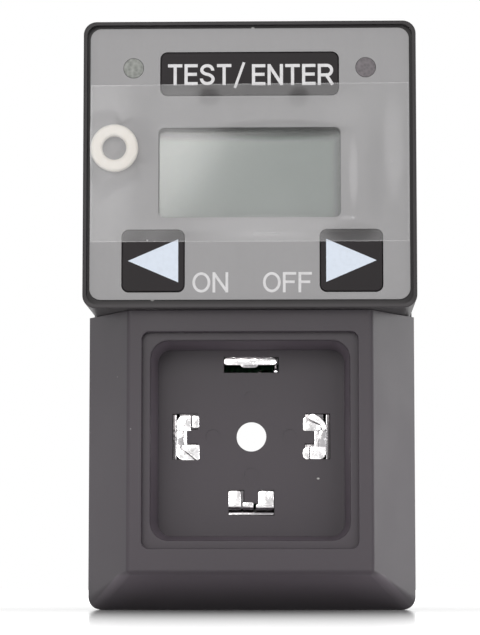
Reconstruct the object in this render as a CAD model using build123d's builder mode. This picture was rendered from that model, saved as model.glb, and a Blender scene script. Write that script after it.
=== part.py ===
from build123d import *
import os

# Plug-through digital timer for a solenoid valve, in millimetres.
# The front looks towards -Y, +X is to its right and +Z is up.
# The origin is under the middle of the case, on the face it stands on.

os.makedirs("parts", exist_ok=True)

# Case
case_width = 40.5
case_corner = 1.6
case_wall = 1.8
front_y = -20.0
joint_y = -1.0
back_y = 10.2
back_edge_fillet = 1.0

# Display module, a box frame on the upper half
display_height = 35.2
frame_wall = 1.6
frame_front_fillet = 0.2
rim_width = 0.45
rim_depth = 0.8
frame_plate = 1.2
panel_gap = 0.38
panel_rise = 0.24
panel_thickness = 0.3
panel_corner = 1.35

# Socket module, a blunt pyramid on the lower half
socket_top = 36.27
module_gap = 0.03
plateau_y = -18.0
slope_y = -8.5
plateau_half_width = 14.8
plateau_bottom = 4.4
plateau_corner = 0.6
plateau_edge_fillet = 0.7
cover_top_fillet = 0.06
cover_spare = 2.0
cover_wall = 1.6

# Connector: four blades on a square about the fixing bore
bore_radius = 1.85
bore_rise = 0.8
contact_pitch = 18.0
pocket_rise = 0.165
ledge_width = 1.0
ledge_corner = 0.9
ledge_depth = 1.0
pocket_size = 24.2
pocket_corner = 2.2
pocket_depth = 7.5
pocket_draft = 5.2
pocket_wall = 1.2
floor_thickness = 1.5
cover_bore_radius = 2.5
cover_tube_radius = 3.5
housing_bore_radius = 3.3
bore_tube_radius = 4.3
ledge_fillet = 0.15
mouth_fillet = 0.2
pin_mark_radius = 0.9
pin_mark_reach = 4.75
pin_mark_depth = 0.08

# Female contacts, folded from tinned sheet
sheet = 0.35
blade_gap = 0.7
contact_half = 2.78
curl_depth = 2.4
curl_width = 1.85
contact_length = 8.5
contact_inset = 0.1
window_gap = 0.05
earth_half = 3.35
earth_sheet = 0.5
earth_slot = 1.1
dimple_half = 0.9
dimple_rise = 0.3
solder_leg = 0.8

# Male blades on the back
blade_width = 4.8
earth_blade_width = 6.3
blade_thickness = 0.8
blade_reach = 9.8
blade_tip = 0.9
blade_bevel = 0.25
blade_root = 2.0
root_stand = 0.4
blade_clearance = 0.1

# Seat pad round the blades
seat_size = 28.0
seat_corner = 2.0
seat_rise = 0.8

# Keys, all moving straight in
key_proud = 0.1
key_gap = 0.1
key_depth = 2.7
key_corner = 0.9
key_fillet = 0.12
key_tab = 1.0
key_tab_thickness = 0.8
key_tab_height = 3.0
key_rest_gap = 0.15
wide_key_side = 9.35
wide_key_height = 5.45
wide_key_drop = 6.45
arrow_key_size = 7.7
arrow_key_side = 8.24
arrow_key_rise = 5.8
arrow_key_shift = 0.31
arrow_length = 6.1
arrow_height = 5.25
arrow_inlay = 0.3

# Tact switches under the keys
switch_size = 4.5
switch_height = 3.4
plunger_radius = 1.2
plunger_gap = 0.1
plunger_sunk = 0.5
switch_well = 1.2

# Liquid crystal display
window_side = 9.15
window_below = 11.1
window_above = 13.05
window_corner = 0.75
pane_lap = 0.9
pane_thickness = 0.5
glass_thickness = 1.1
glass_beside = 2.4
glass_below = 0.9
glass_above = 3.0
glass_ledge = 2.4
glass_gap = 0.1
reflector_thickness = 0.2
reflector_inset = 1.3
holder_wall = 1.0
holder_gap = 0.1
holder_lap = 0.5
holder_top = 0.5
strip_inset = 1.0
strip_clear = 0.3

# Indicators
lamp_radius = 1.2
lamp_flange = 1.7
lamp_flange_thickness = 0.7
lamp_side = 6.1
lamp_drop = 5.7
lamp_gap = 0.05
led_size = 2.0
led_height = 0.8

# Circuit boards
board_thickness = 1.6
board_gap = 0.4
display_board_y = -12.0
terminal_board_y = 1.0
power_board_y = 4.4
power_board_rise = 5.2
power_board_drop = 2.1
terminal_board_above = 3.7
terminal_board_below = 5.3

# Small screws for the boards
board_screw_radius = 0.65
board_screw_head = 1.5
board_screw_head_height = 0.8
board_screw_length = 4.4
board_pilot_radius = 0.7
board_hole_radius = 0.8
board_boss_radius = 1.5
pilot_spare = 0.6
lower_boss_gap = 0.2
lower_boss_rise = 3.6
upper_boss_side = 3.45
upper_boss_rise = 7.1
power_boss_inset = 2.2
terminal_boss_inset = 2.0

# Long screws that hold both front modules to the back housing
case_screw_radius = 1.0
case_screw_head = 1.8
case_screw_head_height = 1.5
case_screw_sink = 2.0
case_screw_bite = 6.0
case_hole_gap = 0.2
case_pilot_gap = 0.05
case_post_radius = 2.8
front_post_radius = 2.2
case_post_side = 4.05
lower_post_inset = 4.4
upper_post_inset = 4.0
cross_slot_width = 0.5
cross_slot_reach = 1.2

# Cross bar of the back housing, behind the gap between the modules
bar_below = 1.87
bar_above = 1.6
bar_clear = 0.2

# Seal round the joint
seal_outset = 0.5
seal_width = 0.8
seal_depth = 0.9
seal_clear = 0.04

# Wires between the boards
wire_radius = 0.55
wire_pitch = 3.0
wire_bend = 1.2
wire_above_blade = 2.1
wire_above_edge = 2.1
wire_wall_gap = 1.0

# Loose ring that is taped on the panel for delivery
ring_radius = 2.9
ring_hole = 1.45
ring_thickness = 1.2
ring_fillet = 0.4
ring_side = 3.95
ring_rise = 1.8

# Clear tape across the panel
tape_width = 19.2
tape_rise = 0.15
tape_thickness = 0.06
tape_clear = 0.02
tape_slope = 1.5

# Values worked out from the ones above
half_width = case_width / 2
display_bottom = socket_top + module_gap
case_height = display_bottom + display_height
display_z = (case_height + display_bottom) / 2
plateau_height = socket_top - plateau_bottom
plateau_z = (socket_top + plateau_bottom) / 2
pocket_z = plateau_z + pocket_rise
ledge_size = pocket_size + 2 * ledge_width
bore_z = pocket_z + bore_rise
plate_front = front_y + rim_depth
plate_back = plate_front + frame_plate
panel_front = plate_front - panel_thickness
back_inner = back_y - case_wall
seat_y = back_y + seat_rise
floor_y = plateau_y + pocket_depth
floor_back = floor_y + floor_thickness
pane_front = plate_front
pane_back = pane_front + pane_thickness
key_front = panel_front - key_proud
key_back = key_front + key_depth
wide_key_width = case_width - 2 * wide_key_side
wide_key_z = case_height - wide_key_drop
arrow_key_x = half_width - arrow_key_side
arrow_key_places = {side: side * arrow_key_x + arrow_key_shift for side in (-1, 1)}
arrow_key_z = display_bottom + arrow_key_rise
lamp_x = half_width - lamp_side
lamp_z = case_height - lamp_drop
window_width = case_width - 2 * window_side
window_height = display_height - window_below - window_above
window_z = display_bottom + window_below + window_height / 2
glass_half_width = window_width / 2 + glass_beside
glass_front = plate_back + glass_gap
glass_middle = glass_front + glass_thickness
glass_back = glass_middle + glass_thickness
glass_low = window_z - window_height / 2 - glass_below
glass_high = window_z + window_height / 2 + glass_above
switch_front = display_board_y - switch_height
blade_end = seat_y + blade_reach
case_post_x = half_width - case_post_side
post_heights = {
    "cover": (lower_post_inset, socket_top - upper_post_inset),
    "frame": (display_bottom + upper_post_inset, case_height - upper_post_inset),
}
post_places = [
    (side * case_post_x, height)
    for heights in post_heights.values()
    for height in heights
    for side in (-1, 1)
]


# A plane that looks forward at depth y, with X to the right and Z up
def front_plane(y):
    return Plane.XZ.offset(-y)


# A slab with rounded corners between two depths
def slab(width, height, x, z, y_from, y_to, radius=0.0, mode=Mode.ADD):
    with BuildSketch(front_plane(y_from)) as outline:
        with Locations((x, z)):
            if radius > 0:
                RectangleRounded(width, height, radius)
            else:
                Rectangle(width, height)
    extrude(outline.sketch, amount=y_from - y_to, mode=mode)


# A slab given by its edges instead of its middle
def block(x_low, x_high, z_low, z_high, y_from, y_to, mode=Mode.ADD):
    slab(x_high - x_low, z_high - z_low, (x_low + x_high) / 2, (z_low + z_high) / 2,
         y_from, y_to, mode=mode)


# Round bars or holes along Y at each place
def rods(places, radius, y_from, y_to, mode=Mode.ADD):
    with BuildSketch(front_plane(y_from)) as outline:
        with Locations(*places):
            Circle(radius)
    extrude(outline.sketch, amount=y_from - y_to, mode=mode)


# Both signs of X for one place
def pair(place):
    return [(-place[0], place[1]), place]


# The plane of one connector position: local X along the blade, local Y away from the bore
def contact_plane(direction, y):
    directions = {
        "left": ((-1, 0), (0, 0, 1)),
        "right": ((1, 0), (0, 0, -1)),
        "bottom": ((0, -1), (-1, 0, 0)),
        "top": ((0, 1), (1, 0, 0)),
    }
    outward, along = directions[direction]
    reach = contact_pitch / 2
    origin = (outward[0] * reach, y, bore_z + outward[1] * reach)
    return Plane(origin=origin, x_dir=along, z_dir=(0, -1, 0))


# A rectangle on a connector plane, given by its edges, carried from y_from to y_to
def contact_block(direction, u_low, u_high, v_low, v_high, y_from, y_to, mode=Mode.ADD):
    with BuildSketch(contact_plane(direction, y_from)) as outline:
        with Locations(((u_low + u_high) / 2, (v_low + v_high) / 2)):
            Rectangle(u_high - u_low, v_high - v_low)
    extrude(outline.sketch, amount=y_from - y_to, mode=mode)


def save(part, name):
    part.label = name
    export_step(part, "parts/" + name + ".step")


display_board_back = display_board_y + board_thickness
power_board_back = power_board_y + board_thickness
terminal_board_back = terminal_board_y + board_thickness
inner_board_half = case_post_x - case_post_radius - board_gap
power_board_low = display_bottom + power_board_rise
power_board_high = case_height - power_board_drop
terminal_board_low = bore_z - contact_pitch / 2 - terminal_board_below
terminal_board_high = bore_z + contact_pitch / 2 + terminal_board_above
power_boss_x = inner_board_half - power_boss_inset
terminal_boss_x = inner_board_half - terminal_boss_inset
lower_boss_x = arrow_key_x - arrow_key_size / 2 - key_tab - board_boss_radius - lower_boss_gap
power_bosses = [
    (side * power_boss_x, height)
    for height in (power_board_low + power_boss_inset, power_board_high - power_boss_inset)
    for side in (-1, 1)
]
terminal_bosses = [
    (side * terminal_boss_x, height)
    for height in (terminal_board_low + terminal_boss_inset,
                   terminal_board_high - terminal_boss_inset)
    for side in (-1, 1)
]
display_bosses = (
    [(side * lower_boss_x + arrow_key_shift, display_bottom + lower_boss_rise) for side in (-1, 1)]
    + pair((half_width - upper_boss_side, display_z + upper_boss_rise))
)
contact_names = {"left": "contact_1", "right": "contact_2", "bottom": "contact_3"}
blade_names = {"left": "blade_1", "right": "blade_2", "bottom": "blade_3"}


# Back housing: one tub behind both modules, with the bore tube, posts and bosses
with BuildPart() as main_housing:
    slab(case_width, case_height, 0, case_height / 2, joint_y, back_y, case_corner)
    fillet(main_housing.faces().sort_by(Axis.Y)[-1].edges(), back_edge_fillet)
    slab(seat_size, seat_size, 0, pocket_z, back_inner, seat_y, seat_corner)
    slab(case_width - 2 * case_wall, case_height - 2 * case_wall, 0, case_height / 2,
         joint_y, back_inner, mode=Mode.SUBTRACT)
    block(-half_width + case_wall, half_width - case_wall,
          socket_top - bar_below, display_bottom + bar_above, joint_y, terminal_board_y - bar_clear)
    rods([(0, bore_z)], bore_tube_radius, joint_y, back_inner)
    rods(post_places, case_post_radius, joint_y, back_inner)
    rods(terminal_bosses, board_boss_radius, terminal_board_back, back_inner)
    rods(power_bosses, board_boss_radius, power_board_back, back_inner)
    rods([(0, bore_z)], housing_bore_radius, joint_y, seat_y, mode=Mode.SUBTRACT)
    rods(post_places, case_screw_radius + case_hole_gap, joint_y, back_y, mode=Mode.SUBTRACT)
    rods(post_places, case_screw_head + case_hole_gap, back_y - case_screw_sink, seat_y,
         mode=Mode.SUBTRACT)
    rods(terminal_bosses, board_pilot_radius, terminal_board_back,
         terminal_board_y + board_screw_length + pilot_spare, mode=Mode.SUBTRACT)
    rods(power_bosses, board_pilot_radius, power_board_back,
         power_board_y + board_screw_length + pilot_spare, mode=Mode.SUBTRACT)
    for direction in blade_names:
        contact_block(direction, -blade_width / 2 - blade_clearance,
                      blade_width / 2 + blade_clearance,
                      -blade_thickness / 2 - blade_clearance,
                      blade_thickness / 2 + blade_clearance,
                      back_inner, seat_y, mode=Mode.SUBTRACT)
    contact_block("top", -earth_blade_width / 2 - blade_clearance,
                  earth_blade_width / 2 + blade_clearance,
                  -blade_thickness / 2 - blade_clearance,
                  blade_thickness / 2 + blade_clearance,
                  back_inner, seat_y, mode=Mode.SUBTRACT)
    with BuildSketch(front_plane(joint_y)) as seal_groove:
        with Locations((0, case_height / 2)):
            RectangleRounded(case_width - 2 * seal_outset, case_height - 2 * seal_outset,
                             case_corner - seal_outset)
            RectangleRounded(case_width - 2 * (seal_outset + seal_width),
                             case_height - 2 * (seal_outset + seal_width),
                             case_corner - seal_outset - seal_width, mode=Mode.SUBTRACT)
    extrude(seal_groove.sketch, amount=-seal_depth, mode=Mode.SUBTRACT)
save(main_housing.part, "main_housing")


# Seal in the groove of the housing's rim
with BuildPart() as housing_seal:
    with BuildSketch(front_plane(joint_y)):
        with Locations((0, case_height / 2)):
            outer = seal_outset + seal_clear
            inner = seal_outset + seal_width - seal_clear
            RectangleRounded(case_width - 2 * outer, case_height - 2 * outer,
                             case_corner - outer)
            RectangleRounded(case_width - 2 * inner, case_height - 2 * inner,
                             case_corner - inner, mode=Mode.SUBTRACT)
    extrude(amount=-seal_depth)
save(housing_seal.part, "housing_seal")


# Display frame: front plate with a raised rim, and walls back to the joint
with BuildPart() as display_frame:
    slab(case_width, display_height, 0, display_z, front_y, joint_y, case_corner)
    fillet(display_frame.faces().sort_by(Axis.Y)[0].edges(), frame_front_fillet)
    slab(case_width - 2 * frame_wall, display_height - 2 * frame_wall, 0, display_z,
         plate_back, joint_y, mode=Mode.SUBTRACT)
    slab(case_width - 2 * rim_width, display_height - 2 * rim_width, 0, display_z,
         front_y, plate_front, panel_corner, mode=Mode.SUBTRACT)
    slab(window_width + 2 * pane_lap, window_height + 2 * pane_lap, 0, window_z,
         pane_front, pane_back, window_corner, mode=Mode.SUBTRACT)
    slab(window_width, window_height, 0, window_z, pane_front, plate_back, window_corner,
         mode=Mode.SUBTRACT)
    slab(wide_key_width, wide_key_height, 0, wide_key_z, plate_front, plate_back, key_corner,
         mode=Mode.SUBTRACT)
    for side in (-1, 1):
        slab(arrow_key_size, arrow_key_size, arrow_key_places[side], arrow_key_z,
             plate_front, plate_back, key_corner, mode=Mode.SUBTRACT)
    rods(pair((lamp_x, lamp_z)), lamp_radius + lamp_gap, plate_front, plate_back,
         mode=Mode.SUBTRACT)
    rods(display_bosses, board_boss_radius, plate_back, display_board_y)
    rods(display_bosses, board_pilot_radius,
         display_board_back - board_screw_length - pilot_spare, display_board_y,
         mode=Mode.SUBTRACT)
    frame_posts = [(x, z) for x, z in post_places if z > display_bottom]
    rods(frame_posts, front_post_radius, joint_y - case_screw_bite - pilot_spare, joint_y)
    for side in (-1, 1):
        for height in post_heights["frame"]:
            slab(half_width - case_post_x - frame_wall / 2, front_post_radius,
                 side * (half_width + case_post_x - frame_wall / 2) / 2, height,
                 joint_y - case_screw_bite - pilot_spare, joint_y)
    rods(frame_posts, case_screw_radius + case_pilot_gap,
         joint_y - case_screw_bite - pilot_spare, joint_y, mode=Mode.SUBTRACT)
save(display_frame.part, "display_frame")


# A rectangle at depth y that is rounded at its lower corners only and runs past the cover's top
def cover_outline(y, width, bottom, corner):
    with BuildSketch(front_plane(y)) as outline:
        with Locations((0, (bottom + socket_top + cover_spare) / 2)):
            Rectangle(width, socket_top + cover_spare - bottom)
        fillet(outline.vertices().group_by(Axis.Y)[0], corner)
    return outline.sketch


# Socket cover: the blunt pyramid with the connector pocket, its floor and the bore tube.
# The blank is taller than the cover and is cut level, so that its upper corners stay sharp.
with BuildPart() as socket_cover:
    cover_side = cover_outline(slope_y, case_width, 0, case_corner)
    cover_front = cover_outline(plateau_y, 2 * plateau_half_width, plateau_bottom, plateau_corner)
    extrude(cover_side, amount=slope_y - joint_y)
    loft([cover_side.face(), cover_front.face()])
    front_edges = socket_cover.faces().sort_by(Axis.Y)[0].edges().sort_by(Axis.Z)
    fillet(front_edges[:-1], plateau_edge_fillet)
    block(-half_width, half_width, socket_top, socket_top + cover_spare, plateau_y, joint_y,
          mode=Mode.SUBTRACT)
    top_edges = socket_cover.faces().sort_by(Axis.Z)[-1].edges()
    fillet([edge for edge in top_edges if edge.center().Y < slope_y], cover_top_fillet)
    slab(case_width - 2 * cover_wall, socket_top - 2 * cover_wall, 0, socket_top / 2,
         slope_y, joint_y, mode=Mode.SUBTRACT)
    with BuildSketch(front_plane(slope_y)):
        with Locations((0, socket_top / 2)):
            Rectangle(case_width - 2 * cover_wall, socket_top - 2 * cover_wall)
    with BuildSketch(front_plane(plateau_y + cover_wall)):
        with Locations((0, plateau_z)):
            Rectangle(2 * (plateau_half_width - cover_wall / 2),
                      plateau_height - 2 * cover_wall)
    loft(mode=Mode.SUBTRACT)
    pocket_box = pocket_size + 2 * pocket_wall
    slab(pocket_box, pocket_box, 0, pocket_z, plateau_y + ledge_depth, floor_back)
    rods([(0, bore_z)], cover_tube_radius, floor_back, joint_y)
    cover_posts = [(x, z) for x, z in post_places if z < display_bottom]
    rods(cover_posts, front_post_radius, joint_y - case_screw_bite - pilot_spare, joint_y)
    for side in (-1, 1):
        for height in post_heights["cover"]:
            slab(half_width - case_post_x - cover_wall / 2, front_post_radius,
                 side * (half_width + case_post_x - cover_wall / 2) / 2, height,
                 joint_y - case_screw_bite - pilot_spare, joint_y)
    rods(cover_posts, case_screw_radius + case_pilot_gap,
         joint_y - case_screw_bite - pilot_spare, joint_y, mode=Mode.SUBTRACT)
    slab(ledge_size, ledge_size, 0, pocket_z, plateau_y, plateau_y + ledge_depth,
         ledge_corner, mode=Mode.SUBTRACT)
    with BuildSketch(front_plane(plateau_y + ledge_depth)) as pocket_mouth:
        with Locations((0, pocket_z)):
            RectangleRounded(pocket_size, pocket_size, pocket_corner)
    extrude(pocket_mouth.sketch, amount=ledge_depth - pocket_depth, taper=pocket_draft,
            mode=Mode.SUBTRACT)
    ledge_face = socket_cover.faces().filter_by_position(Axis.Y, plateau_y + ledge_depth,
                                                         plateau_y + ledge_depth)[0]
    fillet(ledge_face.inner_wires()[0].edges(), mouth_fillet)
    front_face = socket_cover.faces().sort_by(Axis.Y)[0]
    fillet(front_face.inner_wires()[0].edges(), ledge_fillet)
    rods([(0, bore_z)], bore_radius, floor_y, floor_back, mode=Mode.SUBTRACT)
    rods([(0, bore_z)], cover_bore_radius, floor_back, joint_y, mode=Mode.SUBTRACT)
    marks = [(reach * pin_mark_reach * (1 - axis), bore_z + reach * pin_mark_reach * axis)
             for axis in (0, 1) for reach in (-1, 1)]
    rods(marks, pin_mark_radius, floor_y, floor_y + pin_mark_depth, mode=Mode.SUBTRACT)
    for direction in contact_names:
        contact_block(direction, -contact_half - window_gap, contact_half + window_gap,
                      -blade_gap / 2 - curl_depth + sheet, blade_gap / 2 + sheet + window_gap,
                      floor_y, floor_back, mode=Mode.SUBTRACT)
        tongue = contact_half - curl_width - window_gap
        contact_block(direction, -tongue, tongue, -blade_gap / 2 - curl_depth,
                      -blade_gap - window_gap, floor_y, floor_back)
    contact_block("top", -earth_half - window_gap, earth_half + window_gap, -earth_slot,
                  blade_gap / 2 + earth_sheet + window_gap, floor_y, floor_back,
                  mode=Mode.SUBTRACT)
save(socket_cover.part, "socket_cover")


# Printed front panel with its openings
with BuildPart() as overlay_panel:
    slab(case_width - 2 * (rim_width + panel_gap),
         display_height - 2 * (rim_width + panel_gap) - panel_rise,
         0, display_z + panel_rise / 2, panel_front, plate_front, panel_corner)
    slab(window_width, window_height, 0, window_z, panel_front, plate_front, window_corner,
         mode=Mode.SUBTRACT)
    slab(wide_key_width, wide_key_height, 0, wide_key_z, panel_front, plate_front, key_corner,
         mode=Mode.SUBTRACT)
    for side in (-1, 1):
        slab(arrow_key_size, arrow_key_size, arrow_key_places[side], arrow_key_z,
             panel_front, plate_front, key_corner, mode=Mode.SUBTRACT)
    rods(pair((lamp_x, lamp_z)), lamp_radius + lamp_gap, panel_front, plate_front,
         mode=Mode.SUBTRACT)
save(overlay_panel.part, "overlay_panel")


# Clear pane, let into the plate behind the panel
with BuildPart() as lcd_window:
    lap = pane_lap - key_gap
    slab(window_width + 2 * lap, window_height + 2 * lap, 0, window_z, pane_front, pane_back,
         window_corner)
save(lcd_window.part, "lcd_window")


# Display cell: a tall front glass and a shorter back glass, so that a contact ledge is left
with BuildPart() as lcd_glass:
    block(-glass_half_width, glass_half_width, glass_low, glass_high, glass_front, glass_middle)
    block(-glass_half_width, glass_half_width, glass_low, glass_high - glass_ledge,
          glass_middle, glass_back)
save(lcd_glass.part, "lcd_glass")


with BuildPart() as lcd_reflector:
    reflector_half = glass_half_width - reflector_inset
    block(-reflector_half, reflector_half, glass_low + holder_lap,
          glass_high - glass_ledge - holder_lap,
          glass_back, glass_back + reflector_thickness)
save(lcd_reflector.part, "lcd_reflector")


# Rubber strip that carries the display's signals to the board
with BuildPart() as zebra_strip:
    strip_half = glass_half_width - strip_inset
    block(-strip_half, strip_half, glass_high - glass_ledge + strip_clear,
          glass_high - strip_clear, glass_middle, display_board_y)
save(zebra_strip.part, "zebra_strip")


# Holder: a ring round the glass with a ledge under each side of it
with BuildPart() as lcd_holder:
    ring_half = glass_half_width + holder_gap + holder_wall
    ring_low = glass_low - holder_gap - holder_top
    ring_high = glass_high + holder_gap + holder_top
    block(-ring_half, ring_half, ring_low, ring_high, glass_middle, display_board_y)
    block(-glass_half_width - holder_gap, glass_half_width + holder_gap,
          glass_low - holder_gap, glass_high + holder_gap, glass_middle, glass_back,
          mode=Mode.SUBTRACT)
    open_half = glass_half_width - holder_wall
    block(-open_half, open_half, glass_low - holder_gap, glass_high + holder_gap,
          glass_back, display_board_y, mode=Mode.SUBTRACT)
save(lcd_holder.part, "lcd_holder")


# Display board
with BuildPart() as display_board:
    block(-half_width + frame_wall + board_gap, half_width - frame_wall - board_gap,
          display_bottom + frame_wall + board_gap, case_height - frame_wall - board_gap,
          display_board_y, display_board_back)
    rods(display_bosses, board_hole_radius, display_board_y, display_board_back,
         mode=Mode.SUBTRACT)
save(display_board.part, "display_board")


# A key cap with a stop tab at each end, sliding in its opening
def make_key(width, height, x, z):
    with BuildPart() as key:
        slab(width - 2 * key_gap, height - 2 * key_gap, x, z, key_front, key_back,
             key_corner - key_gap)
        fillet(key.faces().sort_by(Axis.Y)[0].edges(), key_fillet)
        slab(width + 2 * key_tab, key_tab_height, x, z, plate_back + key_rest_gap,
             plate_back + key_rest_gap + key_tab_thickness)
    return key.part


# The triangle that is let into an arrow key, pointing to the side it is on
def make_arrow(side):
    with BuildPart() as arrow:
        with BuildSketch(front_plane(key_front)):
            with BuildLine():
                x_base = arrow_key_places[side] - side * arrow_length / 2
                x_tip = arrow_key_places[side] + side * arrow_length / 2
                Polyline((x_base, arrow_key_z - arrow_height / 2), (x_tip, arrow_key_z),
                         (x_base, arrow_key_z + arrow_height / 2), close=True)
            make_face()
        extrude(amount=-arrow_inlay)
    return arrow.part


# A tact switch: a square body with a well, and the plunger that stands in it
def make_switch(x, z):
    with BuildPart() as switch:
        slab(switch_size, switch_size, x, z, switch_front, display_board_y)
        rods([(x, z)], plunger_radius + plunger_gap, switch_front, switch_front + switch_well,
             mode=Mode.SUBTRACT)
    return switch.part


def make_plunger(x, z):
    with BuildPart() as plunger:
        rods([(x, z)], plunger_radius, key_back, switch_front + plunger_sunk)
    return plunger.part


save(make_key(wide_key_width, wide_key_height, 0, wide_key_z), "test_enter_key")
for side, name in ((-1, "left"), (1, "right")):
    inlay = make_arrow(side)
    cap = make_key(arrow_key_size, arrow_key_size, arrow_key_places[side], arrow_key_z)
    save(cap - inlay, name + "_key")
    save(inlay, name + "_arrow")
for name, x, z in (("test_enter", 0, wide_key_z), ("left", arrow_key_places[-1], arrow_key_z),
                   ("right", arrow_key_places[1], arrow_key_z)):
    save(make_switch(x, z), name + "_switch")
    save(make_plunger(x, z), name + "_plunger")


# An indicator lens with a flange behind the plate, and the chip light under it
def make_indicator(x):
    with BuildPart() as indicator:
        rods([(x, lamp_z)], lamp_radius, panel_front, display_board_y - led_height - glass_gap)
        rods([(x, lamp_z)], lamp_flange, plate_back, plate_back + lamp_flange_thickness)
    return indicator.part


def make_led(x):
    with BuildPart() as led:
        slab(led_size, led_size, x, lamp_z, display_board_y - led_height, display_board_y)
    return led.part


for side, name in ((-1, "left"), (1, "right")):
    save(make_indicator(side * lamp_x), name + "_indicator")
    save(make_led(side * lamp_x), name + "_led")


# Parts on the back of the display board
chip_size = 9.0
chip_height = 1.4
chip_drop = 4.4
chip_z = display_z - chip_drop
with BuildPart() as microcontroller:
    slab(chip_size, chip_size, 0, chip_z, display_board_back, display_board_back + chip_height)
    pins_per_side = 8
    pin_pitch = 0.8
    pin_reach = 0.8
    with BuildSketch(front_plane(display_board_back)) as pins:
        for side in (-1, 1):
            with Locations((0, chip_z + side * (chip_size + pin_reach) / 2)):
                with GridLocations(pin_pitch, 1, pins_per_side, 1):
                    Rectangle(pin_pitch / 2, pin_reach)
            with Locations((side * (chip_size + pin_reach) / 2, chip_z)):
                with GridLocations(1, pin_pitch, 1, pins_per_side):
                    Rectangle(pin_reach, pin_pitch / 2)
    extrude(pins.sketch, amount=-chip_height / 2)
save(microcontroller.part, "microcontroller")

crystal_length = 8.0
crystal_width = 3.6
crystal_height = 3.2
crystal_x = 11.0
crystal_corner = 1.6
with BuildPart() as quartz_crystal:
    slab(crystal_width, crystal_length, crystal_x, chip_z, display_board_back,
         display_board_back + crystal_height, crystal_corner)
save(quartz_crystal.part, "quartz_crystal")


# Pin header that joins the display board to the power board
header_pins = 5
header_spacing = 2.54
header_pin = 0.64
header_block = 2.5
header_drop = 10.5
header_z = power_board_high - header_drop
with BuildPart() as board_header:
    header_width = header_pins * header_spacing
    slab(header_width, header_block, 0, header_z, display_board_back,
         display_board_back + header_block)
    slab(header_width, header_block, 0, header_z, power_board_y - header_block, power_board_y)
    with BuildSketch(front_plane(display_board_back)) as header_section:
        with Locations((0, header_z)):
            with GridLocations(header_spacing, 1, header_pins, 1):
                Rectangle(header_pin, header_pin)
    extrude(header_section.sketch, amount=display_board_back - power_board_y)
save(board_header.part, "board_header")


# Power board and the parts on its front
with BuildPart() as power_board:
    block(-inner_board_half, inner_board_half, power_board_low, power_board_high,
          power_board_y, power_board_back)
    rods(power_bosses, board_hole_radius, power_board_y, power_board_back, mode=Mode.SUBTRACT)
save(power_board.part, "power_board")

film_width = 7.2
film_height = 4.5
film_depth = 8.0
film_corner = 0.6
film_x = -3.9
film_drop = 5.9
with BuildPart() as film_capacitor:
    slab(film_width, film_height, film_x, power_board_high - film_drop,
         power_board_y - film_depth, power_board_y, film_corner)
save(film_capacitor.part, "film_capacitor")

can_radius = 3.15
can_length = 9.5
can_x = 3.9
can_drop = 5.4
can_edge = 0.5
can_groove = 0.25
can_groove_width = 0.6
can_groove_rise = 1.6
with BuildPart() as electrolytic_capacitor:
    can_place = (can_x, power_board_high - can_drop)
    rods([can_place], can_radius, power_board_y - can_length, power_board_y)
    fillet(electrolytic_capacitor.edges().filter_by(GeomType.CIRCLE).sort_by(Axis.Y)[0], can_edge)
    with BuildSketch(front_plane(power_board_y - can_groove_rise)) as groove:
        with Locations(can_place):
            Circle(can_radius)
            Circle(can_radius - can_groove, mode=Mode.SUBTRACT)
    extrude(groove.sketch, amount=-can_groove_width, mode=Mode.SUBTRACT)
save(electrolytic_capacitor.part, "electrolytic_capacitor")

disc_radius = 3.6
disc_thickness = 3.0
disc_edge = 0.8
disc_lift = 0.8
disc_side = 3.8
disc_rise = 8.0
disc_lead_reach = 2.5
disc_lead_length = 2.6
lead_radius = 0.35
with BuildPart() as varistor:
    disc_x = inner_board_half - disc_side
    disc_z = power_board_low + disc_rise
    with BuildSketch(Plane.XY.offset(disc_z - disc_thickness / 2)):
        with Locations((disc_x, power_board_y - disc_radius - disc_lift)):
            Circle(disc_radius)
    extrude(amount=disc_thickness)
    fillet(varistor.edges(), disc_edge)
    rods([(disc_x - disc_lead_reach, disc_z), (disc_x + disc_lead_reach, disc_z)], lead_radius,
         power_board_y - disc_lead_length, power_board_y)
save(varistor.part, "varistor")

triac_width = 6.6
triac_length = 5.8
triac_height = 2.4
triac_tab = 1.0
triac_tab_width = 5.3
triac_tab_thickness = 0.5
triac_rise = 5.6
with BuildPart() as triac:
    triac_low = power_board_low + triac_rise
    triac_top = triac_low + triac_length
    block(-triac_width / 2, triac_width / 2, triac_low, triac_top,
          power_board_y - triac_height, power_board_y)
    block(-triac_tab_width / 2, triac_tab_width / 2, triac_top, triac_top + triac_tab,
          power_board_y - triac_tab_thickness, power_board_y)
save(triac.part, "triac")

bridge_width = 6.4
bridge_length = 7.4
bridge_height = 2.8
bridge_bevel = 0.4
bridge_side = 3.3
bridge_rise = 9.6
with BuildPart() as bridge_rectifier:
    slab(bridge_width, bridge_length, bridge_side - inner_board_half,
         power_board_low + bridge_rise, power_board_y - bridge_height, power_board_y)
    chamfer(bridge_rectifier.faces().sort_by(Axis.Y)[0].edges(), bridge_bevel)
save(bridge_rectifier.part, "bridge_rectifier")

resistor_radius = 1.5
resistor_length = 7.0
resistor_lift = 0.3
resistor_edge = 0.4
resistor_rise = 3.6
resistor_lead_inset = 0.7
with BuildPart() as fuse_resistor:
    resistor_z = power_board_low + resistor_rise
    lead_x = resistor_length / 2 - resistor_lead_inset
    with BuildSketch(Plane.YZ.offset(-resistor_length / 2)):
        with Locations((power_board_y - resistor_radius - resistor_lift, resistor_z)):
            Circle(resistor_radius)
    extrude(amount=resistor_length)
    fillet(fuse_resistor.edges(), resistor_edge)
    rods(pair((lead_x, resistor_z)), lead_radius, power_board_y - resistor_radius, power_board_y)
save(fuse_resistor.part, "fuse_resistor")


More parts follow.
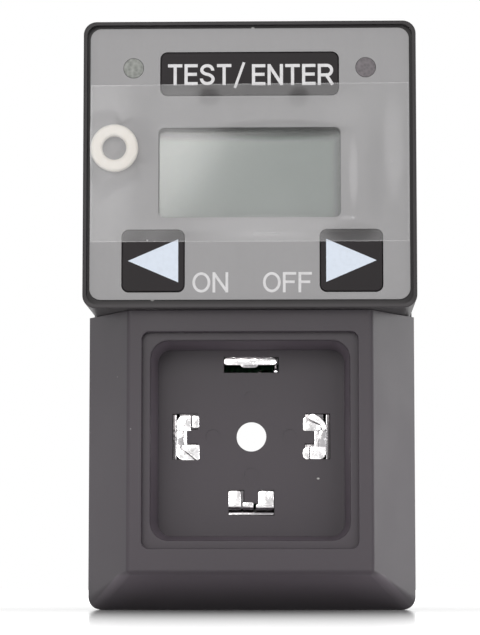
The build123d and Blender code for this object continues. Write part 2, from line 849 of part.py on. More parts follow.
# Terminal board: the contacts and the blades are soldered into it
with BuildPart() as terminal_board:
    block(-inner_board_half, inner_board_half, terminal_board_low, terminal_board_high,
          terminal_board_y, terminal_board_back)
    rods([(0, bore_z)], bore_tube_radius + board_gap / 2, terminal_board_y,
         terminal_board_back, mode=Mode.SUBTRACT)
    rods(terminal_bosses, board_hole_radius, terminal_board_y, terminal_board_back,
         mode=Mode.SUBTRACT)
    for direction in ("left", "right", "bottom", "top"):
        contact_block(direction, -blade_root / 2 - blade_clearance,
                      blade_root / 2 + blade_clearance,
                      -blade_thickness / 2 - blade_clearance,
                      blade_thickness / 2 + blade_clearance,
                      terminal_board_y, terminal_board_back, mode=Mode.SUBTRACT)
        leg_top = blade_gap / 2 + (earth_sheet if direction == "top" else sheet)
        leg_out = earth_half if direction == "top" else contact_half
        for side in (-1, 1):
            u_edges = sorted((side * (leg_out + blade_clearance),
                              side * (leg_out - solder_leg - blade_clearance)))
            contact_block(direction, *u_edges, blade_gap / 2 - blade_clearance,
                          leg_top + blade_clearance, terminal_board_y, terminal_board_back,
                          mode=Mode.SUBTRACT)
save(terminal_board.part, "terminal_board")


# A folded contact: a flat back, and an edge on each side that curls over towards the bore
def make_contact(direction):
    front = floor_y + contact_inset
    back = front + contact_length
    v_back = blade_gap / 2
    v_curl = v_back - curl_depth - blade_gap + sheet
    with BuildPart() as contact:
        contact_block(direction, -contact_half, contact_half, v_back, v_back + sheet, front, back)
        for side in (-1, 1):
            outer = (contact_half - sheet, contact_half)
            over = (contact_half - curl_width, contact_half)
            inner = (contact_half - curl_width, contact_half - curl_width + sheet)
            under = (contact_half - curl_width, contact_half - 2 * sheet)
            for edges, v_low, v_high in ((outer, v_curl, v_back),
                                         (over, v_curl, v_curl + sheet),
                                         (inner, v_curl, -blade_gap / 2),
                                         (under, -blade_gap / 2 - sheet, -blade_gap / 2)):
                u_low, u_high = sorted((side * edges[0], side * edges[1]))
                contact_block(direction, u_low, u_high, v_low, v_high, front, back)
            u_low, u_high = sorted((side * contact_half, side * (contact_half - solder_leg)))
            contact_block(direction, u_low, u_high, v_back, v_back + sheet, back,
                          terminal_board_back)
    return contact.part


for direction, name in contact_names.items():
    save(make_contact(direction), name)


# Earth contact: a broad plate with a dimple and one short side leg
with BuildPart() as earth_contact:
    earth_front = floor_y + contact_inset
    earth_back = earth_front + contact_length
    earth_v = blade_gap / 2
    contact_block("top", -earth_half, earth_half, earth_v, earth_v + earth_sheet,
                  earth_front, earth_back)
    contact_block("top", -dimple_half, dimple_half, earth_v - dimple_rise, earth_v,
                  earth_front, earth_front + 2 * dimple_half)
    contact_block("top", earth_half - sheet, earth_half, -earth_slot + window_gap, earth_v,
                  earth_front, earth_back)
    for side in (-1, 1):
        leg_edges = sorted((side * earth_half, side * (earth_half - solder_leg)))
        contact_block("top", *leg_edges, earth_v, earth_v + earth_sheet, earth_back,
                      terminal_board_back)
save(earth_contact.part, "earth_contact")


# A flat blade with a narrow root through the terminal board and a bevelled tip
def make_blade(direction, width):
    with BuildPart() as blade:
        contact_block(direction, -width / 2, width / 2, -blade_thickness / 2,
                      blade_thickness / 2, terminal_board_back, blade_end)
        contact_block(direction, -blade_root / 2, blade_root / 2, -blade_thickness / 2,
                      blade_thickness / 2, terminal_board_y - root_stand, terminal_board_back)
        tip = blade.faces().sort_by(Axis.Y)[-1]
        chamfer(tip.edges().sort_by(SortBy.LENGTH)[-2:], blade_bevel, blade_tip, reference=tip)
    return blade.part


for direction, name in blade_names.items():
    save(make_blade(direction, blade_width), name)
save(make_blade("top", earth_blade_width), "earth_blade")


# Insulated wires from the terminal board up to the power board, behind both
with BuildPart() as link_wires:
    wire_low_z = bore_z + contact_pitch / 2 + wire_above_blade
    wire_high_z = power_board_low + wire_above_edge
    wire_y = back_inner - wire_wall_gap
    for number in (-1, 0, 1):
        wire_x = number * wire_pitch
        with BuildLine() as route:
            FilletPolyline((wire_x, terminal_board_back, wire_low_z), (wire_x, wire_y, wire_low_z),
                           (wire_x, wire_y, wire_high_z), (wire_x, power_board_back, wire_high_z),
                           radius=wire_bend)
        with BuildSketch(Plane(origin=route.line @ 0, z_dir=route.line % 0)):
            Circle(wire_radius)
        sweep(path=route.line)
save(link_wires.part, "link_wires")


# A cross-slotted screw along Y: turn is +1 when its point looks to the back
def screw(x, z, seat, head_radius, head_height, shank_radius, length, turn):
    rods([(x, z)], head_radius, seat - turn * head_height, seat)
    rods([(x, z)], shank_radius, seat, seat + turn * length)
    slot = head_radius * cross_slot_reach
    for width, height in ((slot, cross_slot_width), (cross_slot_width, slot)):
        slab(width, height, x, z, seat - turn * head_height, seat - turn * head_height / 2,
             mode=Mode.SUBTRACT)


with BuildPart() as board_screws:
    for x, z in display_bosses:
        screw(x, z, display_board_back, board_screw_head, board_screw_head_height,
              board_screw_radius, board_screw_length, -1)
    for x, z in power_bosses:
        screw(x, z, power_board_y, board_screw_head, board_screw_head_height,
              board_screw_radius, board_screw_length, 1)
    for x, z in terminal_bosses:
        screw(x, z, terminal_board_y, board_screw_head, board_screw_head_height,
              board_screw_radius, board_screw_length, 1)
save(board_screws.part, "board_screws")

with BuildPart() as case_screws:
    case_screw_seat = back_y - case_screw_sink
    for x, z in post_places:
        screw(x, z, case_screw_seat, case_screw_head, case_screw_head_height,
              case_screw_radius, case_screw_seat - joint_y + case_screw_bite, -1)
save(case_screws.part, "case_screws")


# Loose sealing ring, lying on the panel
ring_x = ring_side - half_width
ring_z = display_z + ring_rise
with BuildPart() as seal_ring:
    rods([(ring_x, ring_z)], ring_radius, panel_front - ring_thickness, panel_front)
    rods([(ring_x, ring_z)], ring_hole, panel_front - ring_thickness, panel_front,
         mode=Mode.SUBTRACT)
    fillet(seal_ring.edges().filter_by(GeomType.CIRCLE), ring_fillet)
save(seal_ring.part, "seal_ring")


# Tape: over the rims, over the ring and down on the panel, one width from end to end
with BuildPart() as tape_strip:
    tape_low = display_z + tape_rise - tape_width / 2
    rim_inner = half_width - rim_width
    ring_left = max(ring_x - ring_radius, -rim_inner + 2 * tape_thickness)
    ring_right = ring_x + ring_radius
    ring_top = panel_front - ring_thickness - tape_clear
    low_y = key_front - tape_clear
    outer_side = [
        (-half_width, front_y),
        (-rim_inner, front_y),
        (ring_left, ring_top),
        (ring_right, ring_top),
        (ring_right + tape_slope, low_y),
        (rim_inner - tape_slope, low_y),
        (rim_inner, front_y),
        (half_width, front_y),
    ]
    with BuildSketch(Plane.XY.offset(tape_low)):
        with BuildLine():
            Polyline(*outer_side, *[(x, y - tape_thickness) for x, y in reversed(outer_side)],
                     close=True)
        make_face()
    extrude(amount=tape_width)
save(tape_strip.part, "tape_strip")
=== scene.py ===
import math

import bmesh
import bpy
from mathutils import Matrix, Quaternion, Vector, noise


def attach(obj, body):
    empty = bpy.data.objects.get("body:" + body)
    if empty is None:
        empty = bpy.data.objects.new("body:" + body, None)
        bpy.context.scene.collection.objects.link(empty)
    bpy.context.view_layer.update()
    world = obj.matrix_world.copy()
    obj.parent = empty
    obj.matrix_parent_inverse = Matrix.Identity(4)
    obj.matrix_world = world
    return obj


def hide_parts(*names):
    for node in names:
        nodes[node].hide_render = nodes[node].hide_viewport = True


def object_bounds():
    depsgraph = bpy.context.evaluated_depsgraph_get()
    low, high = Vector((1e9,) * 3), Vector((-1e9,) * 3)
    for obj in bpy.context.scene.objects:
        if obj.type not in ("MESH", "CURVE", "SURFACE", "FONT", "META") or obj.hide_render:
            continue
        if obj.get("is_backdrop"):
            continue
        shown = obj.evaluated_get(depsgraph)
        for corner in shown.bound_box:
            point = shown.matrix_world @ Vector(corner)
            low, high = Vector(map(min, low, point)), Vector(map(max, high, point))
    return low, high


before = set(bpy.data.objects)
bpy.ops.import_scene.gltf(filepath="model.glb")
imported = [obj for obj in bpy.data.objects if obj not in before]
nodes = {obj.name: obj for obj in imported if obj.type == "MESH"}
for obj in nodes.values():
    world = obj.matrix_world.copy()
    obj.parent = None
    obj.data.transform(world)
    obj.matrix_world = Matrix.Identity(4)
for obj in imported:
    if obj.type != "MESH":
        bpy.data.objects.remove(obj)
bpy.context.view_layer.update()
mm = 0.001                                    # the meshes below are drawn in millimetres
scene = bpy.context.scene
print("frame loaded:", len(nodes), "nodes")


# shader helpers

class Value:                                  # one output of a node; a sum on it adds a Math node
    def __init__(self, paint, socket):
        self.paint = paint
        self.socket = socket

    def sum(self, operation, first, second=0.0, clamp=False):
        settings = {"operation": operation, "use_clamp": clamp}
        return self.paint.node("Math", settings, {0: first, 1: second})

    def __add__(self, other): return self.sum("ADD", self, other)
    def __radd__(self, other): return self.sum("ADD", other, self)
    def __sub__(self, other): return self.sum("SUBTRACT", self, other)
    def __rsub__(self, other): return self.sum("SUBTRACT", other, self)
    def __mul__(self, other): return self.sum("MULTIPLY", self, other)
    def __rmul__(self, other): return self.sum("MULTIPLY", other, self)
    def __truediv__(self, other): return self.sum("DIVIDE", self, other)
    def __rtruediv__(self, other): return self.sum("DIVIDE", other, self)
    def __pow__(self, other): return self.sum("POWER", self, other)
    def __abs__(self): return self.sum("ABSOLUTE", self)
    def atMost(self, other): return self.sum("MINIMUM", self, other)
    def atLeast(self, other): return self.sum("MAXIMUM", self, other)
    def clip(self): return self.sum("ADD", self, clamp=True)


class Paint:                                  # one material and the nodes in it
    def __init__(self, name):
        self.material = bpy.data.materials.new(name)
        self.material.use_nodes = True
        self.tree = self.material.node_tree
        self.tree.nodes.clear()
        self.place = self.node("TexCoord", pick="Object")

    def node(self, kind, settings=None, inputs=None, pick=0):
        made = self.tree.nodes.new("ShaderNode" + kind)
        for key, value in (settings or {}).items():
            if key == "stops":
                ramp = made.color_ramp
                while len(ramp.elements) < len(value):
                    ramp.elements.new(0.5)
                for element, (position, colour) in zip(ramp.elements, value):
                    element.position = position
                    element.color = (*colour, 1.0)
            else:
                setattr(made, key, value)
        for key, value in (inputs or {}).items():
            socket = made.inputs[key]
            if isinstance(value, Value):
                self.tree.links.new(value.socket, socket)
            elif socket.type == "RGBA":
                socket.default_value = (*value, 1.0)
            else:
                socket.default_value = value
        return Value(self, made.outputs[pick]) if made.outputs else made

    def axis(self, letter):                   # one object coordinate, in millimetres
        return self.node("SeparateXYZ", inputs={0: self.place}, pick=letter) * (1 / mm)

    def scaled(self, scale, shift=(0, 0, 0)):
        return self.node("Mapping", inputs={"Vector": self.place, "Location": shift, "Scale": scale})

    def noise(self, size, detail=2.0, rough=0.5, place=None, twist=0.0):
        return self.node("TexNoise", inputs={"Vector": place or self.place, "Scale": 1 / (size * mm),
                                             "Detail": detail, "Roughness": rough, "Distortion": twist})

    def cells(self, size, place=None):        # distance to the nearest scattered point
        return self.node("TexVoronoi", inputs={"Vector": place or self.place, "Scale": 1 / (size * mm)},
                         pick="Distance")

    def mix(self, factor, first, second):
        return self.node("Mix", {"data_type": "RGBA"}, {0: factor, 6: first, 7: second}, 2)

    def between(self, value, low, high):      # 0 below low, 1 above high, smooth in between
        return self.node("MapRange", {"interpolation_type": "SMOOTHSTEP"},
                         {"Value": value, "From Min": low, "From Max": high})

    def toned(self, factor, colour, low, high):                # the colour times low at 0, times high at 1
        return self.mix(factor, tinted(colour, low), tinted(colour, high))

    def bands(self, pitch, bend=0.0, bendSize=1.0):            # parallel bands across X
        return self.node("TexWave", {"wave_type": "BANDS", "bands_direction": "X"},
                         {"Vector": self.place, "Scale": 1 / (pitch * mm), "Distortion": bend,
                          "Detail": 0.0, "Detail Scale": bendSize}, "Fac")

    def spot(self, x, z, halfWidth, halfHeight, soft=1.0):     # 1 in a soft oval on the front, 0 round it
        across = (self.axis("X") - x) / halfWidth
        up = (self.axis("Z") - z) / halfHeight
        return 1 - self.between(across * across + up * up, 1 - soft, 1.0)

    def bump(self, height, depth, strength=1.0):
        return self.node("Bump", inputs={"Strength": strength, "Distance": depth * mm, "Height": height},
                         pick="Normal")

    def finish(self, **inputs):               # the shader and the output, with every socket that is given
        inputs = {name.replace("_", " "): value for name, value in inputs.items()}
        surface = self.node("BsdfPrincipled", inputs=inputs)
        self.node("OutputMaterial", inputs={"Surface": surface})
        return self.material


def tinted(colour, factor):
    return tuple(min(1.0, part * factor) for part in colour)


# materials. A noise is (size, detail, roughness), tones are the darkest and the palest factor of a colour,
# and a relief is (depth, strength)

# A moulded plastic: fine spark-eroded grain, a slow change of tone, dust specks, and marks at (x, z, size).
# Painted light may make two places paler: the slope of a foot, at (height, mitre, factor), and the walls of a
# pocket, at (z, half width, front, floor), which are rougher as well. A painted shade, (from, to, share)
# along
# Z, darkens the tone
moulded = {"patch": (11.0, 3.0), "patchShare": 0.7, "patchWear": 0.16, "grain": (3.0, 0.6), "grainShare": 0.3,
           "grainWear": 0.10, "relief": (0.010, 0.8), "tones": (0.80, 1.20), "dustPitch": 2.1,
           "dustSize": (0.02, 0.05), "dustPatch": (1.7, 1.0), "dustShift": (0.4, 0, 0),
           "dustyFrom": (0.62, 0.70), "dust": (0.45, 0.44, 0.43), "mark": (0.50, 0.49, 0.48),
           "markFlat": 0.7, "paintedShadeTone": 0.35, "footEdge": 0.25, "mitreEdge": 0.2, "wallTop": (1.0, 1.7),
           "wallFoot": (0.5, 0.1), "wallEdge": 0.2, "wallRough": 0.3, "wallPaintedLight": 2.3}


def mouldedPlastic(name, colour, grain=0.16, rough=0.46, gloss=0.35, specks=0.0, marks=(), paintedFootLight=(), paintedShades=(),
                   pocketPaintedLight=()):
    paint = Paint(name)
    patches = paint.noise(*moulded["patch"])
    fine = paint.noise(grain, *moulded["grain"])
    tone = (patches * moulded["patchShare"] + fine * moulded["grainShare"]).clip()
    body = paint.toned(tone, colour, *moulded["tones"])
    if specks:
        dust = 1 - paint.between(paint.cells(moulded["dustPitch"]), *moulded["dustSize"])
        shifted = paint.scaled((1, 1, 1), moulded["dustShift"])
        rare = paint.between(paint.noise(*moulded["dustPatch"], place=shifted), *moulded["dustyFrom"])
        body = paint.mix(dust * rare * specks, body, moulded["dust"])
    for x, z, size in marks:
        body = paint.mix(paint.spot(x, z, size, size * moulded["markFlat"]), body, moulded["mark"])
    wear = rough + (patches - 0.5) * moulded["patchWear"] + (fine - 0.5) * moulded["grainWear"]
    # painted light: the slope of the foot is made paler
    if paintedFootLight:
        top, mitre, factor = paintedFootLight
        z = paint.axis("Z")
        low = paint.between(z, top + moulded["footEdge"], top - moulded["footEdge"])
        low = low * paint.between(abs(paint.axis("X")) + z, mitre + moulded["mitreEdge"],
                                  mitre - moulded["mitreEdge"])
        body = paint.mix(low, body, tinted(colour, factor))
    # painted shade: the tone darkens from start to end along Z
    for start, end, share in paintedShades:
        paintedShade = paint.between(paint.axis("Z"), start, end) * share
        body = paint.mix(paintedShade, body, tinted(colour, moulded["paintedShadeTone"]))
    # painted light: the walls of the pocket are made paler, and rougher
    if pocketPaintedLight:
        middle, half, front, floorDepth = pocketPaintedLight
        y = paint.axis("Y")
        reach = abs(paint.axis("X")).atLeast(abs(paint.axis("Z") - middle))
        paintedLightWall = paint.between(y, *(front + step for step in moulded["wallTop"]))
        paintedLightWall = paintedLightWall * (1 - paint.between(y, *(floorDepth - step for step in moulded["wallFoot"])))
        paintedLightWall = paintedLightWall * (1 - paint.between(reach, half, half + moulded["wallEdge"]))
        body = paint.mix(paintedLightWall, body, tinted(colour, moulded["wallPaintedLight"]))
        wear = wear + paintedLightWall * moulded["wallRough"]
    return paint.finish(Base_Color=body, Roughness=wear, Specular_IOR_Level=gloss,
                        Normal=paint.bump(fine, *moulded["relief"]))


# Ink on a satin film: a soft mottle, faint streaks and the faintest orange peel
satin = {"mottle": (6.0, 4.0, 0.55), "mottleShare": 0.6, "streak": (0.9, 2.0), "streakRun": (1, 1, 0.12),
         "streakShare": 0.25, "peel": (0.35, 2.0), "peelShare": 0.15, "tones": (0.90, 1.10), "rough": 0.42,
         "wear": 0.12, "gloss": 0.35, "relief": (0.006, 0.6)}


def printedFilm(name, colour):
    paint = Paint(name)
    mottle = paint.noise(*satin["mottle"])
    peel = paint.noise(*satin["peel"])
    streak = paint.noise(*satin["streak"], place=paint.scaled(satin["streakRun"]))
    tone = mottle * satin["mottleShare"] + streak * satin["streakShare"] + peel * satin["peelShare"]
    return paint.finish(Base_Color=paint.toned(tone.clip(), colour, *satin["tones"]),
                        Roughness=satin["rough"] + (mottle - 0.5) * satin["wear"],
                        Specular_IOR_Level=satin["gloss"], Normal=paint.bump(peel, *satin["relief"]))


# Bright tin plate: soft ripples from the press and cloudy patches. Where it lies far back between the walls
# of its opening, painted shade makes it grey, then dark. A painted shade level is (from, to, colour) along Y,
# in millimetres
plated = {"cloud": (1.1, 3.0, 0.6), "dullTo": (0.30, 0.66), "ripple": (2.0, 0.4), "twist": 0.4, "wear": 0.14,
          "strength": 0.7}


def tinPlate(name, colour, rough, dull, ripple=0.55, depth=0.05, paintedShadeLevels=()):
    paint = Paint(name)
    cloud = paint.noise(*plated["cloud"])
    waves = paint.noise(ripple, *plated["ripple"], twist=plated["twist"])
    tin = paint.toned(paint.between(cloud, *plated["dullTo"]), colour, dull, 1)
    # painted shade, from near to far along Y
    for near, far, tone in paintedShadeLevels:
        tin = paint.mix(paint.between(paint.axis("Y"), near, far), tin, tone)
    return paint.finish(Base_Color=tin, Metallic=1.0, Roughness=rough + cloud * plated["wear"],
                        Normal=paint.bump(waves, depth, plated["strength"]))


# Turned or drawn metal with fine lines: the larger a factor in lines, the finer they are along that axis
drawnMetal = {"line": (0.6, 3.0), "lineShare": 0.6, "cloud": (2.5, 2.0), "cloudShare": 0.4,
              "tones": (0.78, 1.05), "wear": 0.2, "relief": (0.01, 0.5)}


def linedMetal(name, colour, rough, lines):
    paint = Paint(name)
    drawn = paint.noise(*drawnMetal["line"], place=paint.scaled(lines))
    cloud = paint.noise(*drawnMetal["cloud"])
    tone = (drawn * drawnMetal["lineShare"] + cloud * drawnMetal["cloudShare"]).clip()
    return paint.finish(Base_Color=paint.toned(tone, colour, *drawnMetal["tones"]), Metallic=1.0,
                        Roughness=rough + (drawn - 0.5) * drawnMetal["wear"],
                        Normal=paint.bump(drawn, *drawnMetal["relief"]))


# Green laminate: tracks under the solder mask, and pads where the mask is open
laminate = {"mask": (0.02, 0.16, 0.06), "track": (0.05, 0.27, 0.10), "pad": (0.75, 0.70, 0.60),
            "trackPitch": 2.4, "bend": 4.0, "bendSize": 0.6, "trackFrom": (0.52, 0.60), "padPitch": 4.5,
            "padSize": (0.13, 0.16), "rough": 0.28, "padWear": 0.12, "padMetal": 0.9, "relief": (0.03, 0.6)}


def circuitBoard(name):
    paint = Paint(name)
    weave = paint.bands(laminate["trackPitch"], laminate["bend"], laminate["bendSize"])
    tracks = paint.between(weave, *laminate["trackFrom"])
    pads = 1 - paint.between(paint.cells(laminate["padPitch"]), *laminate["padSize"])
    colour = paint.mix(pads, paint.mix(tracks, laminate["mask"], laminate["track"]), laminate["pad"])
    return paint.finish(Base_Color=colour, Roughness=laminate["rough"] + pads * laminate["padWear"],
                        Metallic=pads * laminate["padMetal"],
                        Normal=paint.bump(tracks + pads, *laminate["relief"]))


# Dipped or sleeved components: a smooth coat that pools a little. A band is ((from, to) along X, colour)
coating = {"pool": (2.2, 2.0), "fine": (0.4, 2.0), "fineShare": 0.2, "tones": (0.82, 1.14), "wear": 0.12,
           "relief": (0.03, 0.6)}


def dippedCoat(name, colour, rough=0.25, band=None):
    paint = Paint(name)
    pooled = paint.noise(*coating["pool"])
    fine = paint.noise(*coating["fine"])
    coat = paint.toned(pooled, colour, *coating["tones"])
    if band:
        coat = paint.mix(paint.between(paint.axis("X"), *band[0]), coat, band[1])
    return paint.finish(Base_Color=coat, Roughness=rough + (fine - 0.5) * coating["wear"],
                        Normal=paint.bump(pooled + fine * coating["fineShare"], *coating["relief"]))


bloomed = {"bloom": (1.6, 4.0, 0.6), "tones": (0.8, 1.5), "rough": 0.72, "wear": 0.15, "gloss": 0.3,
           "relief": (0.02, 0.5)}


def rubber(name, colour):
    paint = Paint(name)
    bloom = paint.noise(*bloomed["bloom"])
    return paint.finish(Base_Color=paint.toned(bloom, colour, *bloomed["tones"]),
                        Roughness=bloomed["rough"] + bloom * bloomed["wear"],
                        Specular_IOR_Level=bloomed["gloss"], Normal=paint.bump(bloom, *bloomed["relief"]))


# Zebra strip: dark conducting lines in pale rubber
zebra = {"pitch": 1.6, "lineFrom": (0.4, 0.6), "rubber": (0.42, 0.40, 0.38), "line": (0.02, 0.02, 0.02),
         "rough": 0.6, "lineWear": 0.1}


def zebraRubber(name):
    paint = Paint(name)
    lines = paint.bands(zebra["pitch"])
    body = paint.mix(paint.between(lines, *zebra["lineFrom"]), zebra["rubber"], zebra["line"])
    return paint.finish(Base_Color=body, Roughness=zebra["rough"] + lines * zebra["lineWear"])


# Display cell: grey-green glass behind a clear front, the faint ghost of its segment rows, and a shaded
# border along the top and the right, where the panel stands over it
display = {"colour": (0.136, 0.172, 0.151), "ghost": 0.35, "digitPitch": 4.1, "digitHeight": 7.4,
           "rowEdge": 0.2, "rowShare": 0.2, "rowTone": 0.80, "middle": 53.0, "top": 58.35, "topEdge": 0.1,
           "topBand": 1.75, "right": 11.1, "rightBand": 1.3, "rightShare": 0.75, "shade": 0.04,
           "haze": (5.0, 3.0), "tones": (0.95, 1.05), "rough": 0.08, "wear": 0.02, "gloss": 0.5,
           "shadowCoat": 0.9}


def displayCell(name):
    paint = Paint(name)
    haze = paint.noise(*display["haze"])
    x = paint.axis("X")
    z = paint.axis("Z")
    column = x.sum("WRAP", x, display["digitPitch"] / 2)
    height = abs(z - display["middle"])
    rowEnd = display["digitHeight"] / 2
    rows = (1 - paint.between(height, rowEnd - display["rowEdge"], rowEnd)) * column * display["rowShare"]
    cell = paint.toned(haze, display["colour"], *display["tones"])
    ghost = tinted(display["colour"], display["rowTone"])
    cell = paint.mix((rows * display["ghost"]).clip(), cell, ghost)
    fromRight = paint.between(x, display["right"] - display["rightBand"], display["right"])
    fromTop = paint.between(z, display["top"] - display["topBand"], display["top"] - display["topEdge"])
    shadow = fromTop.atLeast(fromRight * display["rightShare"])
    cell = paint.mix(shadow, cell, tinted(display["colour"], display["shade"]))
    return paint.finish(Base_Color=cell, Roughness=display["rough"] + (haze - 0.5) * display["wear"],
                        Specular_IOR_Level=display["gloss"], Coat_Weight=1 - shadow * display["shadowCoat"],
                        Coat_Roughness=display["rough"])


pane = {"colour": (0.80, 0.84, 0.82), "smear": (7.0, 1.0, 0.4), "smearFrom": (0.40, 0.8), "haze": 0.04,
        "smearHaze": 0.02, "rough": 0.10, "wear": 0.05, "bending": 1.49}


def clearPane(name):
    paint = Paint(name)
    smear = paint.noise(*pane["smear"])
    haze = pane["haze"] + paint.between(smear, *pane["smearFrom"]) * pane["smearHaze"]
    return paint.finish(Base_Color=pane["colour"], Roughness=pane["rough"] + smear * pane["wear"], Alpha=haze,
                        IOR=pane["bending"], Specular_IOR_Level=1.0)


# Lens of an unlit lamp: cloudy, with the small facets of its inside showing
lens = {"facet": 0.42, "facetShare": 0.7, "cloud": (0.9, 3.0), "cloudShare": 0.4, "tones": (0.45, 1.75),
        "rough": 0.35, "wear": 0.1, "gloss": 0.4, "relief": (0.04, 0.5)}


def lampLens(name, colour):
    paint = Paint(name)
    facets = paint.cells(lens["facet"])
    cloud = paint.noise(*lens["cloud"])
    tone = (facets * lens["facetShare"] + cloud * lens["cloudShare"]).clip()
    return paint.finish(Base_Color=paint.toned(tone, colour, *lens["tones"]),
                        Roughness=lens["rough"] + cloud * lens["wear"], Specular_IOR_Level=lens["gloss"],
                        Normal=paint.bump(facets, *lens["relief"]))


# Nylon: light enters it a little way, as far as glowScale in metres
milky = {"cloud": (1.4, 3.0, 0.6), "fine": (0.18, 2.0), "fineShare": 0.3, "tones": (0.92, 1.06),
         "rough": 0.42, "wear": 0.12, "glow": 0.25, "glowColour": (1.0, 0.9, 0.8), "glowScale": 0.0008,
         "relief": (0.03, 0.5)}


def nylon(name, colour):
    paint = Paint(name)
    cloud = paint.noise(*milky["cloud"])
    fine = paint.noise(*milky["fine"])
    return paint.finish(Base_Color=paint.toned(cloud, colour, *milky["tones"]),
                        Roughness=milky["rough"] + (fine - 0.5) * milky["wear"],
                        Subsurface_Weight=milky["glow"], Subsurface_Radius=milky["glowColour"],
                        Subsurface_Scale=milky["glowScale"],
                        Normal=paint.bump(cloud + fine * milky["fineShare"], *milky["relief"]))


# Clear tape: a thin milky film with painted highlights along its cut edges and at its ends, and soft cloud
# patches that are partly haze, where it lies closer or creases, and partly painted light and painted shade. A
# cloud is (x, z, half width, half height, light), where light below 0 is a duller place of painted shade, and
# a fleck is (x, z, size)
tape = {"dull": (0.17, 0.17, 0.17), "colour": (0.50, 0.494, 0.50), "hazeAndHighlightColour": (0.80, 0.79, 0.80),
        "haze": 0.22, "lightHaze": 0.11, "drift": (5.5, 2.0, 0.45), "twist": 0.8, "cloud": 0.16,
        "edge": 0.75, "edgeWidth": (0.05, 0.15), "low": 44.41, "width": 19.40, "tilt": 0.0053,
        "reach": 19.35, "steps": (240, 112), "endHighlight": 0.5, "endWidth": (0.28, 0.05), "fleckFlat": 0.8,
        "fleckSoft": 0.6, "rough": 0.30, "wear": 0.08, "relief": (0.05, 0.15),
        "hazeAndPaintedLight": [
            (-18.2, 54.0, 5.4, 22.0, 0.60), (3.6, 58.1, 9.6, 1.5, -1.30), (-9.0, 57.0, 3.2, 2.6, 0.35),
            (12.63, 52.8, 0.75, 5.2, 0.62), (15.4, 53.0, 1.6, 8.0, -0.25), (17.5, 56.0, 1.6, 8.2, 0.45),
            (1.5, 46.4, 12.5, 1.7, 0.55), (2.5, 44.9, 9.5, 1.0, 0.50), (11.9, 47.3, 1.3, 0.35, 0.60),
            (-8.6, 62.4, 3.2, 2.0, 0.32), (-4.9, 62.2, 1.7, 1.5, -0.60), (6.0, 62.2, 1.6, 1.5, -0.60),
            (-12.0, 45.6, 3.4, 1.6, 0.22), (12.3, 45.6, 4.0, 1.6, -0.50), (-16.4, 55.8, 1.6, 1.6, -0.35),
            (11.4, 60.6, 3.4, 2.6, 0.22)],
        "flecks": [(17.2, 54.2, 0.18), (12.55, 47.3, 0.22), (-15.9, 60.4, 0.12), (16.9, 61.0, 0.10),
                   (-12.4, 44.6, 0.16), (-11.5, 44.5, 0.12)]}


def clearTape(name):
    paint = Paint(name)
    cloud = paint.noise(*tape["drift"], twist=tape["twist"])
    x = paint.axis("X")
    up = paint.axis("Z") - tape["low"]
    fromEdge = up.atMost(tape["width"] + x * tape["tilt"] - up)
    # painted highlights along the cut edges and at the two ends
    edge = 1 - paint.between(fromEdge, *tape["edgeWidth"])
    end = paint.between(abs(x), *(tape["reach"] - width for width in tape["endWidth"]))
    light = (cloud - 0.5) * tape["cloud"] + edge * tape["edge"] + end * tape["endHighlight"]
    # cloud patches: partly haze, partly painted light, and painted shade where the light is below 0
    for left, low, halfWidth, halfHeight, amount in tape["hazeAndPaintedLight"]:
        light = light + paint.spot(left, low, halfWidth, halfHeight) * amount
    for left, low, size in tape["flecks"]:
        light = light + paint.spot(left, low, size, size * tape["fleckFlat"], tape["fleckSoft"])
    # light above 0 goes to the pale haze and highlight colour, below 0 to the dull painted-shade colour
    film = paint.mix(light.clip(), tape["colour"], tape["hazeAndHighlightColour"])
    film = paint.mix((0 - light).clip(), film, tape["dull"])
    return paint.finish(Base_Color=film, Roughness=tape["rough"] + (cloud - 0.5) * tape["wear"],
                        Alpha=(tape["haze"] + light * tape["lightHaze"]).clip(),
                        Normal=paint.bump(cloud, *tape["relief"]))


# Printed ink, faded a little in worn patches
worn = {"patch": (0.6, 3.0, 0.55), "wornTo": (0.25, 0.60), "rough": 0.45, "wear": 0.1}


def printedInk(name, colour, fade=0.90):
    paint = Paint(name)
    patch = paint.noise(*worn["patch"])
    return paint.finish(Base_Color=paint.toned(paint.between(patch, *worn["wornTo"]), colour, fade, 1),
                        Roughness=worn["rough"] + patch * worn["wear"])


